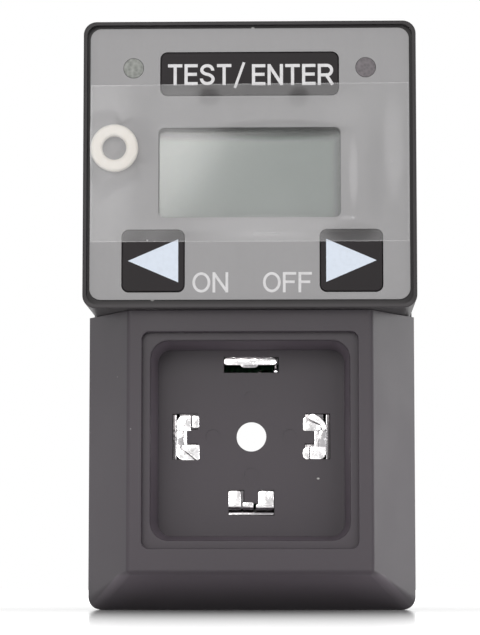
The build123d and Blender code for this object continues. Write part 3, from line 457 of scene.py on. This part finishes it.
materials = {
    "housingPlastic": mouldedPlastic("housingPlastic", (0.045, 0.042, 0.045), specks=0.4),
    # painted light makes the lower edge of the frame paler
    "framePlastic": mouldedPlastic("framePlastic", (0.028, 0.0258, 0.0270), rough=0.42, gloss=0.22,
                                   marks=[(-11.8, 37.4, 0.30), (0.4, 70.75, 0.28)], paintedFootLight=(37.05, 70.0, 1.75)),
    # painted shade under the frame and towards the floor; painted light on the foot's slope and the pocket
    # walls
    "socketPlastic": mouldedPlastic("socketPlastic", (0.053, 0.0440, 0.0525), specks=0.7, rough=0.44,
                                    marks=[(8.25, 16.1, 0.22)], pocketPaintedLight=(20.5, 12.25, -18.0, -10.5),
                                    paintedShades=[(16.0, 37.0, 0.42), (4.0, 0.2, 0.72)], paintedFootLight=(4.3, 20.4, 1.75)),
    "panelFilm": printedFilm("panelFilm", (0.262, 0.257, 0.262)),
    "clearPane": clearPane("clearPane"),
    "displayCell": displayCell("displayCell"),
    "reflectorFoil": linedMetal("reflectorFoil", (0.62, 0.62, 0.60), 0.45, (1, 1, 10)),
    "sealRubber": rubber("sealRubber", (0.02, 0.02, 0.02)),
    "zebraRubber": zebraRubber("zebraRubber"),
    "holderPlastic": mouldedPlastic("holderPlastic", (0.05, 0.05, 0.052), rough=0.5),
    "boardLaminate": circuitBoard("boardLaminate"),
    "keyPlastic": mouldedPlastic("keyPlastic", (0.014, 0.0115, 0.0128), rough=0.42, gloss=0.15),
    "arrowInlay": printedInk("arrowInlay", (0.585, 0.640, 0.725), 0.95),
    "plungerPlastic": mouldedPlastic("plungerPlastic", (0.06, 0.06, 0.06)),
    "switchBody": mouldedPlastic("switchBody", (0.08, 0.08, 0.08), rough=0.5),
    "greenLens": lampLens("greenLens", (0.162, 0.168, 0.156)),
    "redLens": lampLens("redLens", (0.090, 0.079, 0.086)),
    "ledBody": dippedCoat("ledBody", (0.80, 0.78, 0.68)),
    "chipResin": mouldedPlastic("chipResin", (0.022, 0.022, 0.023), rough=0.6, grain=0.1),
    "canMetal": linedMetal("canMetal", (0.70, 0.70, 0.69), 0.25, (14, 1, 14)),
    "canSleeve": dippedCoat("canSleeve", (0.025, 0.03, 0.09), 0.3, ((6.0, 6.1), (0.55, 0.56, 0.60))),
    "filmBox": dippedCoat("filmBox", (0.72, 0.50, 0.07)),
    "varistorCoat": dippedCoat("varistorCoat", (0.03, 0.10, 0.42)),
    "resistorBody": dippedCoat("resistorBody", (0.22, 0.34, 0.26), 0.45),
    # painted shade: the contacts go grey, then dark, further back in their openings
    "tinnedContact": tinPlate("tinnedContact", (0.88, 0.86, 0.87), 0.10, 0.66, paintedShadeLevels=[
        (-10.53, -10.34, (0.36, 0.35, 0.36)), (-10.32, -10.05, (0.085, 0.079, 0.083))]),
    "tinnedBlade": tinPlate("tinnedBlade", (0.66, 0.65, 0.62), 0.26, 0.93, 1.6, 0.02),
    "wireSleeve": dippedCoat("wireSleeve", (0.40, 0.04, 0.03), 0.4),
    "screwSteel": linedMetal("screwSteel", (0.60, 0.60, 0.61), 0.3, (10, 1, 10)),
    "ringNylon": nylon("ringNylon", (0.77, 0.73, 0.67)),
    "clearTape": clearTape("clearTape"),
    "keyLettering": printedInk("keyLettering", (0.60, 0.59, 0.60)),
    "panelLettering": printedInk("panelLettering", (0.58, 0.57, 0.58)),
}

carried = {                                   # CAD nodes that stay, by material
    "housingPlastic": ["main_housing"],
    "framePlastic": ["display_frame"],
    "socketPlastic": ["socket_cover"],
    "panelFilm": ["overlay_panel"],
    "clearPane": ["lcd_window"],
    "displayCell": ["lcd_glass"],
    "reflectorFoil": ["lcd_reflector"],
    "sealRubber": ["housing_seal"],
    "zebraRubber": ["zebra_strip"],
    "holderPlastic": ["lcd_holder", "board_header"],
    "boardLaminate": ["display_board", "power_board", "terminal_board"],
    "keyPlastic": ["test_enter_key", "left_key", "right_key"],
    "arrowInlay": ["left_arrow", "right_arrow"],
    "plungerPlastic": ["test_enter_plunger", "left_plunger", "right_plunger"],
    "switchBody": ["test_enter_switch", "left_switch", "right_switch"],
    "greenLens": ["left_indicator"],
    "redLens": ["right_indicator"],
    "ledBody": ["left_led", "right_led"],
    "chipResin": ["microcontroller", "triac", "bridge_rectifier"],
    "canMetal": ["quartz_crystal"],
    "canSleeve": ["electrolytic_capacitor"],
    "filmBox": ["film_capacitor"],
    "varistorCoat": ["varistor"],
    "resistorBody": ["fuse_resistor"],
    "tinnedContact": ["contact_1", "contact_2", "contact_3", "earth_contact"],
    "tinnedBlade": ["blade_1", "blade_2", "blade_3", "earth_blade"],
    "wireSleeve": ["link_wires"],
    "screwSteel": ["board_screws", "case_screws"],
    "ringNylon": ["seal_ring"],
    "clearTape": ["tape_strip"],
}
for finishName, members in carried.items():
    for member in members:
        slots = nodes[member].data.materials
        slots.clear()
        slots.append(materials[finishName])
print("materials:", len(materials))


# piece helpers

# Turns a bmesh in millimetres into a finished piece that rides on a body
def makePiece(name, shape, finishName, body, sharpFrom, replaced=()):
    bmesh.ops.scale(shape, verts=shape.verts, vec=(mm, mm, mm))
    mesh = bpy.data.meshes.new(name)
    shape.to_mesh(mesh)
    shape.free()
    mesh.shade_smooth()
    mesh.set_sharp_from_angle(angle=math.radians(sharpFrom))
    mesh.materials.append(materials[finishName])
    piece = bpy.data.objects.new(name, mesh)
    scene.collection.objects.link(piece)
    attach(piece, body)
    if replaced:
        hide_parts(*replaced)


# contacts: tinned sheet folded into blocks side by side, with hair seams between them. A corner is
# (along the blade, away from the bore, rounding)
contact = {"front": -10.56, "back": -1.9, "legEnd": 2.6, "legRoot": -2.1, "reach": 9.0, "bore": 21.3,
           "edge": 0.12, "boxEdge": 0.05, "steps": 3, "cornerSteps": 6, "slopeSteps": 5, "sharpFrom": 40,
           "onPlane": 1e-4, "nearTop": 0.02, "strip": (0.22, 0.44),
           "stripSunk": 0.20, "hem": (0.30, 0.73), "hemSunk": 0.56, "hemHalf": 2.81, "leg": (0.35, 0.70),
           "legSpan": (1.98, 2.78), "fill": (-2.38, -0.1), "fillSunk": 0.42, "fillSpan": (0.95, 2.81)}
folds = {
    "leftContact": {"node": "contact_1", "turns": 3, "reach": (-2.86, 2.72), "blocks": [
        {"corners": [(1.05, -2.58, 0.2), (2.62, -2.58, 0.25), (2.66, -1.62, 0), (1.05, -1.62, 0)]},
        {"corners": [(0.66, -1.54, 0.1), (2.66, -1.54, 0), (2.60, 0.26, 0.8), (0.66, 0.28, 0)]},
        {"sunk": 0.03, "corners": [(-1.06, -1.07, 0.1), (0.70, -1.07, 0.1), (0.70, -0.58, 0),
                                   (-1.06, -0.58, 0)]},
        {"sunk": 0.17, "corners": [(-1.30, -0.90, 0), (0.90, -0.90, 0), (0.90, 0.34, 0), (-1.30, 0.34, 0)]},
        {"corners": [(-2.94, -2.60, 0.3), (-1.02, -2.60, 0.15), (-1.02, -0.42, 0), (-1.44, -0.42, 0.1),
                     (-2.94, -2.32, 0)]},
        {"corners": [(-2.94, -2.08, 0.2), (-1.44, -0.22, 0.1), (-1.02, -0.22, 0), (-1.02, 0.28, 0),
                     (-2.90, 0.26, 0.85)]}]},
    "rightContact": {"node": "contact_2", "turns": 1, "reach": (-2.72, 2.86), "blocks": [
        {"corners": [(-2.42, -2.62, 0.35), (-0.66, -2.66, 0.3), (-0.66, -0.42, 0), (-1.36, -0.42, 0.1),
                     (-1.98, -2.00, 0.1), (-2.42, -2.16, 0.1)]},
        {"corners": [(-2.56, -2.06, 0.2), (-2.96, -1.50, 0.4), (-2.46, -0.40, 0.6), (-1.60, 0.26, 0.4),
                     (-0.66, 0.28, 0), (-0.66, -0.30, 0), (-1.46, -0.50, 0.1), (-2.14, -1.92, 0.1)]},
        {"sunk": 0.03, "corners": [(-0.72, -1.24, 0.1), (1.24, -1.24, 0.1), (1.24, -0.66, 0),
                                   (-0.72, -0.66, 0)]},
        {"sunk": 0.17, "corners": [(-0.90, -1.00, 0), (1.40, -1.00, 0), (1.40, 0.34, 0), (-0.90, 0.34, 0)]},
        {"corners": [(1.46, -2.66, 0.45), (2.82, -2.62, 0.45), (2.84, -1.84, 0), (1.20, -1.84, 0.1)]},
        {"corners": [(1.18, -1.76, 0.1), (2.84, -1.76, 0.15), (2.88, 0.24, 0.85), (1.18, 0.28, 0)]}]},
    "lowerContact": {"node": "contact_3", "turns": 2, "reach": (-2.74, 2.82), "strip": (0.44, 0.70),
                     "blocks": [
        {"slope": 0.80, "corners": [(1.30, -2.24, 0.25), (2.82, -2.24, 0.15), (2.82, 0.24, 0),
                                    (1.30, 0.24, 0)]},
        {"slope": 0.72, "corners": [(-0.24, -0.88, 0.15), (1.06, -0.88, 0.15), (1.06, 0.22, 0),
                                    (-0.24, 0.22, 0)]},
        {"slope": 0.80, "corners": [(-2.74, -2.24, 0.15), (-0.84, -2.24, 0.25), (-0.84, -0.64, 0.05),
                                    (-0.58, -0.58, 0.1), (-0.58, 0.24, 0), (-2.74, 0.24, 0)]}]},
}


def frontEdges(shape, front):
    return [line for line in shape.edges
            if all(abs(end.co.y - front) < contact["onPlane"] for end in line.verts)]


# A flat outline of a few corners, each rounded by its own amount, drawn back along Y, its front edge eased
def pressedBlock(corners, front, back, edge, slope=0.0):
    shape = bmesh.new()
    points = [shape.verts.new((u, front, v)) for u, v, rounding in corners]
    shape.faces.new(points)
    for point, (u, v, rounding) in zip(points, corners):
        if rounding:
            bmesh.ops.bevel(shape, geom=[point], offset=rounding, offset_type="OFFSET", affect="VERTICES",
                            segments=contact["cornerSteps"], profile=0.5, material=-1, clamp_overlap=True)
    drawn = bmesh.ops.extrude_face_region(shape, geom=shape.faces[:], use_keep_orig=True)
    moved = [item for item in drawn["geom"] if isinstance(item, bmesh.types.BMVert)]
    bmesh.ops.translate(shape, verts=moved, vec=(0, back - front, 0))
    bmesh.ops.recalc_face_normals(shape, faces=shape.faces)
    if slope:                                 # the side that faces the slot falls away in a broad slant
        high = max(v for u, v, rounding in corners) - contact["nearTop"]
        far = [line for line in frontEdges(shape, front) if all(end.co.z > high for end in line.verts)]
        bmesh.ops.bevel(shape, geom=far, offset=slope, offset_type="OFFSET", affect="EDGES",
                        segments=contact["slopeSteps"], profile=0.5, material=-1, clamp_overlap=True)
    bmesh.ops.bevel(shape, geom=frontEdges(shape, front), offset=edge, offset_type="OFFSET", affect="EDGES",
                    segments=contact["steps"], profile=0.5, material=-1, clamp_overlap=True)
    return shape


def joined(*shapes):
    whole = bmesh.new()
    for shape in shapes:
        part = bpy.data.meshes.new("part")
        shape.to_mesh(part)
        shape.free()
        whole.from_mesh(part)
        bpy.data.meshes.remove(part)
    return whole


def box(uLow, uHigh, vLow, vHigh, front, back):
    corners = [(uLow, vLow, 0), (uHigh, vLow, 0), (uHigh, vHigh, 0), (uLow, vHigh, 0)]
    return pressedBlock(corners, front, back, contact["boxEdge"])


# Drawn with X along the blade and Z away from the bore, then turned to its place round the bore
def placeRoundBore(shape, turns):
    bmesh.ops.translate(shape, verts=shape.verts, vec=(0, 0, contact["reach"]))
    bmesh.ops.rotate(shape, verts=shape.verts, cent=(0, 0, 0),
                     matrix=Matrix.Rotation(turns * math.pi / 2, 3, "Y"))
    bmesh.ops.translate(shape, verts=shape.verts, vec=(0, 0, contact["bore"]))


front, back = contact["front"], contact["back"]
for name, fold in folds.items():
    blocks = [pressedBlock(block["corners"], front + block.get("sunk", 0.0), back, contact["edge"],
                           block.get("slope", 0.0)) for block in fold["blocks"]]
    strip = fold.get("strip", contact["strip"])
    blocks.append(box(*fold["reach"], *strip, front + contact["stripSunk"], back))
    hemHalf = contact["hemHalf"]
    blocks.append(box(-hemHalf, hemHalf, *contact["hem"], front + contact["hemSunk"], back))
    for side in (-1, 1):
        span = sorted(side * reach for reach in contact["fillSpan"])
        blocks.append(box(*span, *contact["fill"], front + contact["fillSunk"], back))
    for side in (-1, 1):
        span = sorted(side * reach for reach in contact["legSpan"])
        blocks.append(box(*span, *contact["leg"], contact["legRoot"], contact["legEnd"]))
    shape = joined(*blocks)
    placeRoundBore(shape, fold["turns"])
    makePiece(name, shape, "tinnedContact", "case", contact["sharpFrom"], [fold["node"]])
print("contacts done")

# earth contact: a broad rounded bar, a pressed bulge in its middle, a small round pin head, and its legs
earth = {"bar": [(-3.36, -0.12, 0.35), (3.12, -0.12, 0.35), (3.12, 0.50, 0.5), (2.60, 0.88, 0.5),
                 (-2.90, 0.88, 0.5), (-3.36, 0.50, 0.5)],
         "bulge": [(-1.20, -0.46, 0.3), (0.70, -0.46, 0.3), (0.95, 0.10, 0.1), (-1.45, 0.10, 0.1)],
         "edge": 0.26, "bulgeSunk": 0.22, "bulgeEdge": 0.2, "pin": (3.03, -0.90), "pinRadius": 0.36,
         "pinFlat": 0.8, "pinSunk": 0.14, "pinSteps": (20, 12), "stemHalf": 0.15,
         "plate": (-3.33, 3.33, -0.05, 0.93), "plateSunk": 0.56, "legs": (-3.35, 3.0), "legWidth": 0.35,
         "leg": (0.35, 0.85)}
bar = pressedBlock(earth["bar"], front, back, earth["edge"])
bulge = pressedBlock(earth["bulge"], front + earth["bulgeSunk"], back, earth["bulgeEdge"])
pinAlong, pinOut = earth["pin"]
pin = bmesh.new()
bmesh.ops.create_uvsphere(pin, u_segments=earth["pinSteps"][0], v_segments=earth["pinSteps"][1],
                          radius=earth["pinRadius"])
bmesh.ops.scale(pin, verts=pin.verts, vec=(1, earth["pinFlat"], 1))
bmesh.ops.translate(pin, verts=pin.verts, vec=(pinAlong, front + earth["pinSunk"], pinOut))
stem = box(pinAlong - earth["stemHalf"], pinAlong + earth["stemHalf"], pinOut - earth["stemHalf"], 0.0,
           front + earth["plateSunk"], back)
plate = box(*earth["plate"], front + earth["plateSunk"], back)
legs = [box(left, left + earth["legWidth"], *earth["leg"], contact["legRoot"], contact["legEnd"])
        for left in earth["legs"]]
shape = joined(bar, bulge, pin, stem, plate, *legs)
placeRoundBore(shape, 0)
makePiece("earthContact", shape, "tinnedContact", "case", contact["sharpFrom"],
          ["earth_contact"])
print("earth contact done")


# loose ring: a round-edged section spun about its own middle
ring = {"middle": (-16.42, 55.84), "inner": 1.45, "outer": 2.9, "back": -19.5, "thickness": 1.2, "edge": 0.42,
        "edgeSteps": 6, "steps": 72, "weld": 0.001, "sharpFrom": 60}
section = bmesh.new()
span = [section.verts.new((ring["middle"][0] + radius, y, ring["middle"][1])) for radius, y in (
    (ring["inner"], ring["back"]), (ring["outer"], ring["back"]),
    (ring["outer"], ring["back"] - ring["thickness"]), (ring["inner"], ring["back"] - ring["thickness"]))]
for first, second in zip(span, span[1:] + span[:1]):
    section.edges.new((first, second))
bmesh.ops.bevel(section, geom=section.verts[:], offset=ring["edge"], offset_type="OFFSET", affect="VERTICES",
                segments=ring["edgeSteps"], profile=0.5, material=-1, clamp_overlap=True)
bmesh.ops.spin(section, geom=section.verts[:] + section.edges[:],
               cent=(ring["middle"][0], 0, ring["middle"][1]), axis=(0, 1, 0), dvec=(0, 0, 0),
               angle=2 * math.pi, steps=ring["steps"], use_merge=True, use_duplicate=False)
bmesh.ops.remove_doubles(section, verts=section.verts, dist=ring["weld"])
bmesh.ops.recalc_face_normals(section, faces=section.faces)
makePiece("looseRing", section, "ringNylon", "case", ring["sharpFrom"], ["seal_ring"])
print("ring done")


# tape: a film that lies on the panel, stands on the keys, bridges the window and tents over the ring. Each
# pair is the start and the end of a smooth step, a ripple is (across, layer, up), a fold (depth, count, turn)
film = {"panel": -19.53, "keys": -19.63, "wideKeyFoot": (61.2, 62.2), "wideKeySide": (10.9, 12.0),
        "arrowTop": (46.0, 47.0), "arrowInner": (7.2, 8.2), "arrowOuter": (15.9, 16.9), "keyShift": 0.31,
        "window": (11.1, 47.4, 58.4), "windowEdge": 2.5, "sag": 0.10, "wave": 0.05,
        "ripple": (0.30, 1.7, 0.42), "fineRipple": (0.9, 4.1, 0.7), "fineShare": 0.5,
        "ring": -20.72, "ringTop": 2.75, "tent": 2.3, "hollow": 0.14, "hollowFrom": 0.6,
        "folds": [(0.35, 3, 0.7), (0.22, 7, 2.0), (0.10, 13, 0.0)], "sharpFrom": 80}


def smoothStep(value, low, high):
    share = min(1.0, max(0.0, (value - low) / (high - low)))
    return share * share * (3 - 2 * share)


def rippled(x, z, across, layer, up):
    return noise.noise(Vector((x * across, layer, z * up)))


def filmDepth(x, z):
    arrow = abs(x - film["keyShift"])
    overWideKey = smoothStep(z, *film["wideKeyFoot"]) * (1 - smoothStep(abs(x), *film["wideKeySide"]))
    overArrow = smoothStep(arrow, *film["arrowInner"]) * (1 - smoothStep(arrow, *film["arrowOuter"]))
    overArrow *= 1 - smoothStep(z, *film["arrowTop"])
    depth = film["panel"] + (film["keys"] - film["panel"]) * max(overWideKey, overArrow)
    half, bottom, top = film["window"]
    edge = film["windowEdge"]
    inWindow = smoothStep(z, bottom, bottom + edge) * (1 - smoothStep(z, top - edge, top))
    depth += film["sag"] * inWindow * (1 - smoothStep(abs(x), half - edge, half))
    ripple = rippled(x, z, *film["ripple"]) + film["fineShare"] * rippled(x, z, *film["fineRipple"])
    depth -= film["wave"] * max(0.0, ripple)
    dx, dz = x - ring["middle"][0], z - ring["middle"][1]
    away, turn = math.hypot(dx, dz), math.atan2(dz, dx)
    folded = sum(size * math.sin(count * turn + start) for size, count, start in film["folds"])
    tent = 1 - smoothStep(away, film["ringTop"], film["ringTop"] + film["tent"] * (1 + folded))
    hollow = film["hollow"] * (1 - smoothStep(away, film["hollowFrom"], ring["inner"]))
    return depth + (film["ring"] + hollow - depth) * tent


strip = bmesh.new()
bmesh.ops.create_grid(strip, x_segments=tape["steps"][0], y_segments=tape["steps"][1], size=1.0)
for vert in strip.verts:
    x = vert.co.x * tape["reach"]
    z = tape["low"] + (vert.co.y + 1) / 2 * (tape["width"] + x * tape["tilt"])
    vert.co = (x, filmDepth(x, z), z)
for face in strip.faces:
    if face.normal.y > 0:
        face.normal_flip()
strip.normal_update()
makePiece("tapeFilm", strip, "clearTape", "case", film["sharpFrom"], ["tape_strip"])
print("tape done")


# lettering: raised ink. Each letter is a few strokes in a cell that is as wide as its share. A curved stroke
# is a chain of arcs: a point on the line, the corner that the arc cuts, the next point on the line
letters = {
    "T": {"width": 14.6, "straight": [[(0, 1), (1, 1)], [(0.5, 1), (0.5, 0)]]},
    "E": {"width": 13.4, "straight": [[(0, 0), (0, 1)], [(0, 1), (1, 1)], [(0, 0.52), (0.92, 0.52)],
                                      [(0, 0), (1, 0)]]},
    "F": {"width": 13.3, "straight": [[(0, 0), (0, 1)], [(0, 1), (1, 1)], [(0, 0.52), (0.85, 0.52)]]},
    "N": {"width": 15.4, "straight": [[(0, 0), (0, 1)], [(1, 0), (1, 1)], [(0.06, 0.96), (0.94, 0.04)]]},
    "S": {"width": 15.2, "curved": [[(0.96, 0.72), (0.96, 1), (0.5, 1), (0.03, 1), (0.03, 0.75), (0.03, 0.56),
                                     (0.5, 0.515), (0.99, 0.46), (0.99, 0.25), (0.99, 0), (0.5, 0), (0, 0),
                                     (0, 0.28)]]},
    "R": {"width": 15.8, "straight": [[(0, 0), (0, 1)], [(0.56, 0.46), (0.98, 0)]],
          "curved": [[(0, 1), (0.3, 1), (0.60, 1), (0.97, 1), (0.97, 0.735), (0.97, 0.47), (0.60, 0.47),
                      (0.3, 0.47), (0, 0.47)]]},
    "O": {"width": 17.6, "curved": [[(0.5, 1), (1, 1), (1, 0.5), (1, 0), (0.5, 0), (0, 0), (0, 0.5), (0, 1),
                                     (0.5, 1)]]},
    "/": {"width": 10.0, "straight": [[(0, 0), (1, 1)]]},
}
words = {
    "keyTextTest": {"text": "TEST", "span": (-9.95, -2.22), "line": (63.66, 66.26), "stroke": 0.39,
                    "body": "test_enter_key", "finish": "keyLettering", "face": -19.60},
    "keyTextSlash": {"text": "/", "span": (-1.90, -0.56), "line": (63.29, 66.46), "stroke": 0.33,
                     "body": "test_enter_key", "finish": "keyLettering", "face": -19.60},
    "keyTextEnter": {"text": "ENTER", "span": (0.29, 10.24), "line": (63.61, 66.22), "stroke": 0.39,
                     "body": "test_enter_key", "finish": "keyLettering", "face": -19.60},
    "panelTextOn": {"text": "ON", "span": (-6.93, -2.59), "line": (38.23, 40.70), "stroke": 0.33,
                    "body": "case", "finish": "panelLettering", "face": -19.50},
    "panelTextOff": {"text": "OFF", "span": (1.61, 7.53), "line": (38.23, 40.70), "stroke": 0.33,
                     "body": "case", "finish": "panelLettering", "face": -19.50},
}
ink = {"thickness": 0.02, "gap": 2.2, "layers": 4, "step": 0.05, "roundSteps": 3, "curveSteps": 5,
       "weld": 0.0005, "sharpFrom": 20, "slot": "arrow_inlay"}


def addStroke(outline, kind, points, depth):
    line = outline.splines.new("POLY" if kind == "straight" else "NURBS")
    line.points.add(len(points) - 1)
    for index, (point, (x, z)) in enumerate(zip(line.points, points)):
        point.co = (x, z, depth, math.sqrt(0.5) if kind == "curved" and index % 2 else 1)
    if kind == "curved":
        line.order_u = 3
        line.use_endpoint_u = True
        line.use_bezier_u = True


for name, word in words.items():
    half = word["stroke"] / 2
    left, right = word["span"]
    bottom, top = word["line"]
    shares = [letters[letter]["width"] for letter in word["text"]]
    unit = (right - left) / (sum(shares) + ink["gap"] * (len(shares) - 1))
    outline = bpy.data.curves.new(name, "CURVE")
    outline.dimensions = "3D"
    outline.bevel_depth = half
    outline.bevel_resolution = ink["roundSteps"]
    outline.resolution_u = ink["curveSteps"]
    outline.use_fill_caps = True
    start, count = left, 0
    for letter, share in zip(word["text"], shares):
        wide, high = share * unit - 2 * half, top - bottom - 2 * half
        for kind in ("straight", "curved"):
            for stroke in letters[letter].get(kind, []):
                points = [(start + half + x * wide, bottom + half + z * high) for x, z in stroke]
                if kind == "straight":        # a straight stroke runs half its width past both ends
                    (x1, z1), (x2, z2) = points
                    reach = half / math.hypot(x2 - x1, z2 - z1)
                    points = [(x1 - (x2 - x1) * reach, z1 - (z2 - z1) * reach),
                              (x2 + (x2 - x1) * reach, z2 + (z2 - z1) * reach)]
                addStroke(outline, kind, points, count * ink["step"])
                count = (count + 1) % ink["layers"]     # neighbours lie at slightly different depths
        start += (share + ink["gap"]) * unit
    holder = bpy.data.objects.new(name + "Outline", outline)
    scene.collection.objects.link(holder)
    bpy.context.view_layer.update()
    drawn = bpy.data.meshes.new_from_object(holder.evaluated_get(bpy.context.evaluated_depsgraph_get()))
    raised = bmesh.new()
    raised.from_mesh(drawn)
    bpy.data.objects.remove(holder)
    bpy.data.curves.remove(outline)
    bpy.data.meshes.remove(drawn)
    bmesh.ops.rotate(raised, verts=raised.verts, cent=(0, 0, 0), matrix=Matrix.Rotation(math.pi / 2, 3, "X"))
    bmesh.ops.scale(raised, verts=raised.verts, vec=(1, ink["thickness"] / half, 1))
    bmesh.ops.translate(raised, verts=raised.verts, vec=(0, word["face"], 0))
    bmesh.ops.remove_doubles(raised, verts=raised.verts, dist=ink["weld"])
    bmesh.ops.recalc_face_normals(raised, faces=raised.faces)
    makePiece(name, raised, word["finish"], word["body"], ink["sharpFrom"])
print("lettering done")


# camera, from the photograph's own perspective
shot = {"place": (7.2, -338.7, 2.7), "aim": (-1.4, -10.5, 36.1), "focalPixels": 2656.5, "longSide": 635,
        "sensor": 36.0, "clip": (0.01, 20.0)}
camera = bpy.data.objects.new("photoCamera", bpy.data.cameras.new("photoCamera"))
scene.collection.objects.link(camera)
camera.location = Vector(shot["place"]) * mm
camera.rotation_mode = "QUATERNION"
camera.rotation_quaternion = (Vector(shot["aim"]) - Vector(shot["place"])).to_track_quat("-Z", "Y")
camera.data.sensor_width = shot["sensor"]
camera.data.lens = shot["focalPixels"] * shot["sensor"] / shot["longSide"]
camera.data.clip_start, camera.data.clip_end = shot["clip"]
scene.camera = camera

# lamps: the low ones fill the pocket and the undersides, the soft box is mirrored in the left of the display
lamps = {
    "topLamp": {"place": (-0.10, -1.20, 0.58), "size": (0.60, 0.24), "power": 1.5},
    "keyLamp": {"place": (0.62, -0.42, 0.50), "size": (0.55, 0.55), "power": 0.6},
    "sideLamp": {"place": (0.72, 0.34, 0.10), "size": (0.40, 0.60), "power": 2.1},
    "leftLamp": {"place": (-0.80, -0.30, 0.25), "size": (0.45, 0.60), "power": 0.2},
    "lowLeftLamp": {"place": (-0.50, -0.90, 0.035), "size": (0.50, 0.05), "power": 1.2},
    "lowRightLamp": {"place": (0.50, -0.90, 0.035), "size": (0.50, 0.05), "power": 1.2},
    "softBox": {"place": (-0.1302, -1.0, 0.2658), "size": (0.20, 0.30), "power": 1.30, "roll": -34,
                "colour": (1.0, 0.985, 0.95)},
    "backLamp": {"place": (0.0, 0.65, 1.10), "size": (1.20, 0.60), "power": 8.0},
}
target = Vector((0, -0.01, 0.036))
for name, lamp in lamps.items():
    light = bpy.data.lights.new(name, "AREA")
    light.shape = "RECTANGLE"
    light.size, light.size_y = lamp["size"]
    light.energy = lamp["power"]
    light.color = lamp.get("colour", (1, 1, 1))
    holder = bpy.data.objects.new(name, light)
    holder.location = lamp["place"]
    holder.rotation_mode = "QUATERNION"
    holder.rotation_quaternion = (target - holder.location).to_track_quat("-Z", "Y") @ Quaternion(
        (0, 0, 1), math.radians(lamp.get("roll", 0)))
    holder.visible_camera = False
    scene.collection.objects.link(holder)

# world: white to the camera, in gloss and through glass, and a soft grey for the rest of the light
sky = {"ambient": 0.60}
world = bpy.data.worlds.new("studio")
scene.world = world
world.use_nodes = True
tree = world.node_tree
tree.nodes.clear()
path = tree.nodes.new("ShaderNodeLightPath")
seen = path.outputs["Is Camera Ray"]
for ray in ("Is Glossy Ray", "Is Transmission Ray"):
    either = tree.nodes.new("ShaderNodeMath")
    either.operation = "MAXIMUM"
    tree.links.new(seen, either.inputs[0])
    tree.links.new(path.outputs[ray], either.inputs[1])
    seen = either.outputs[0]
level = tree.nodes.new("ShaderNodeMapRange")
level.inputs["To Min"].default_value = sky["ambient"]
level.inputs["To Max"].default_value = 1.0
tree.links.new(seen, level.inputs["Value"])
background = tree.nodes.new("ShaderNodeBackground")
background.inputs["Color"].default_value = (1, 1, 1, 1)
tree.links.new(level.outputs[0], background.inputs["Strength"])
out = tree.nodes.new("ShaderNodeOutputWorld")
tree.links.new(background.outputs[0], out.inputs["Surface"])

# floor: it mirrors the foot of the object, and goes over into the white background further out
floorPlate = {"size": 6.0, "colour": (0.92, 0.92, 0.92), "fade": (18, 210), "rough": 0.07, "gloss": 0.5}
ground = bmesh.new()
bmesh.ops.create_grid(ground, x_segments=2, y_segments=2, size=floorPlate["size"] / 2)
groundMesh = bpy.data.meshes.new("floor")
ground.to_mesh(groundMesh)
ground.free()
floor = bpy.data.objects.new("floor", groundMesh)
scene.collection.objects.link(floor)
floorPaint = Paint("floorPaint")
ray = floorPaint.node("LightPath", pick="Is Camera Ray").atLeast(
    floorPaint.node("LightPath", pick="Is Transmission Ray"))
away = (floorPaint.axis("X") ** 2 + floorPaint.axis("Y") ** 2) ** 0.5
glow = floorPaint.mix(ray * floorPaint.between(away, *floorPlate["fade"]), (0, 0, 0), (1, 1, 1))
groundMesh.materials.append(floorPaint.finish(Base_Color=floorPlate["colour"], Roughness=floorPlate["rough"],
                                              Specular_IOR_Level=floorPlate["gloss"], Emission_Color=glow,
                                              Emission_Strength=1.0))
floor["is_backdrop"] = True

scene.view_settings.view_transform = "Standard"
print("camera, lamps and floor done")

low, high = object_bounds()
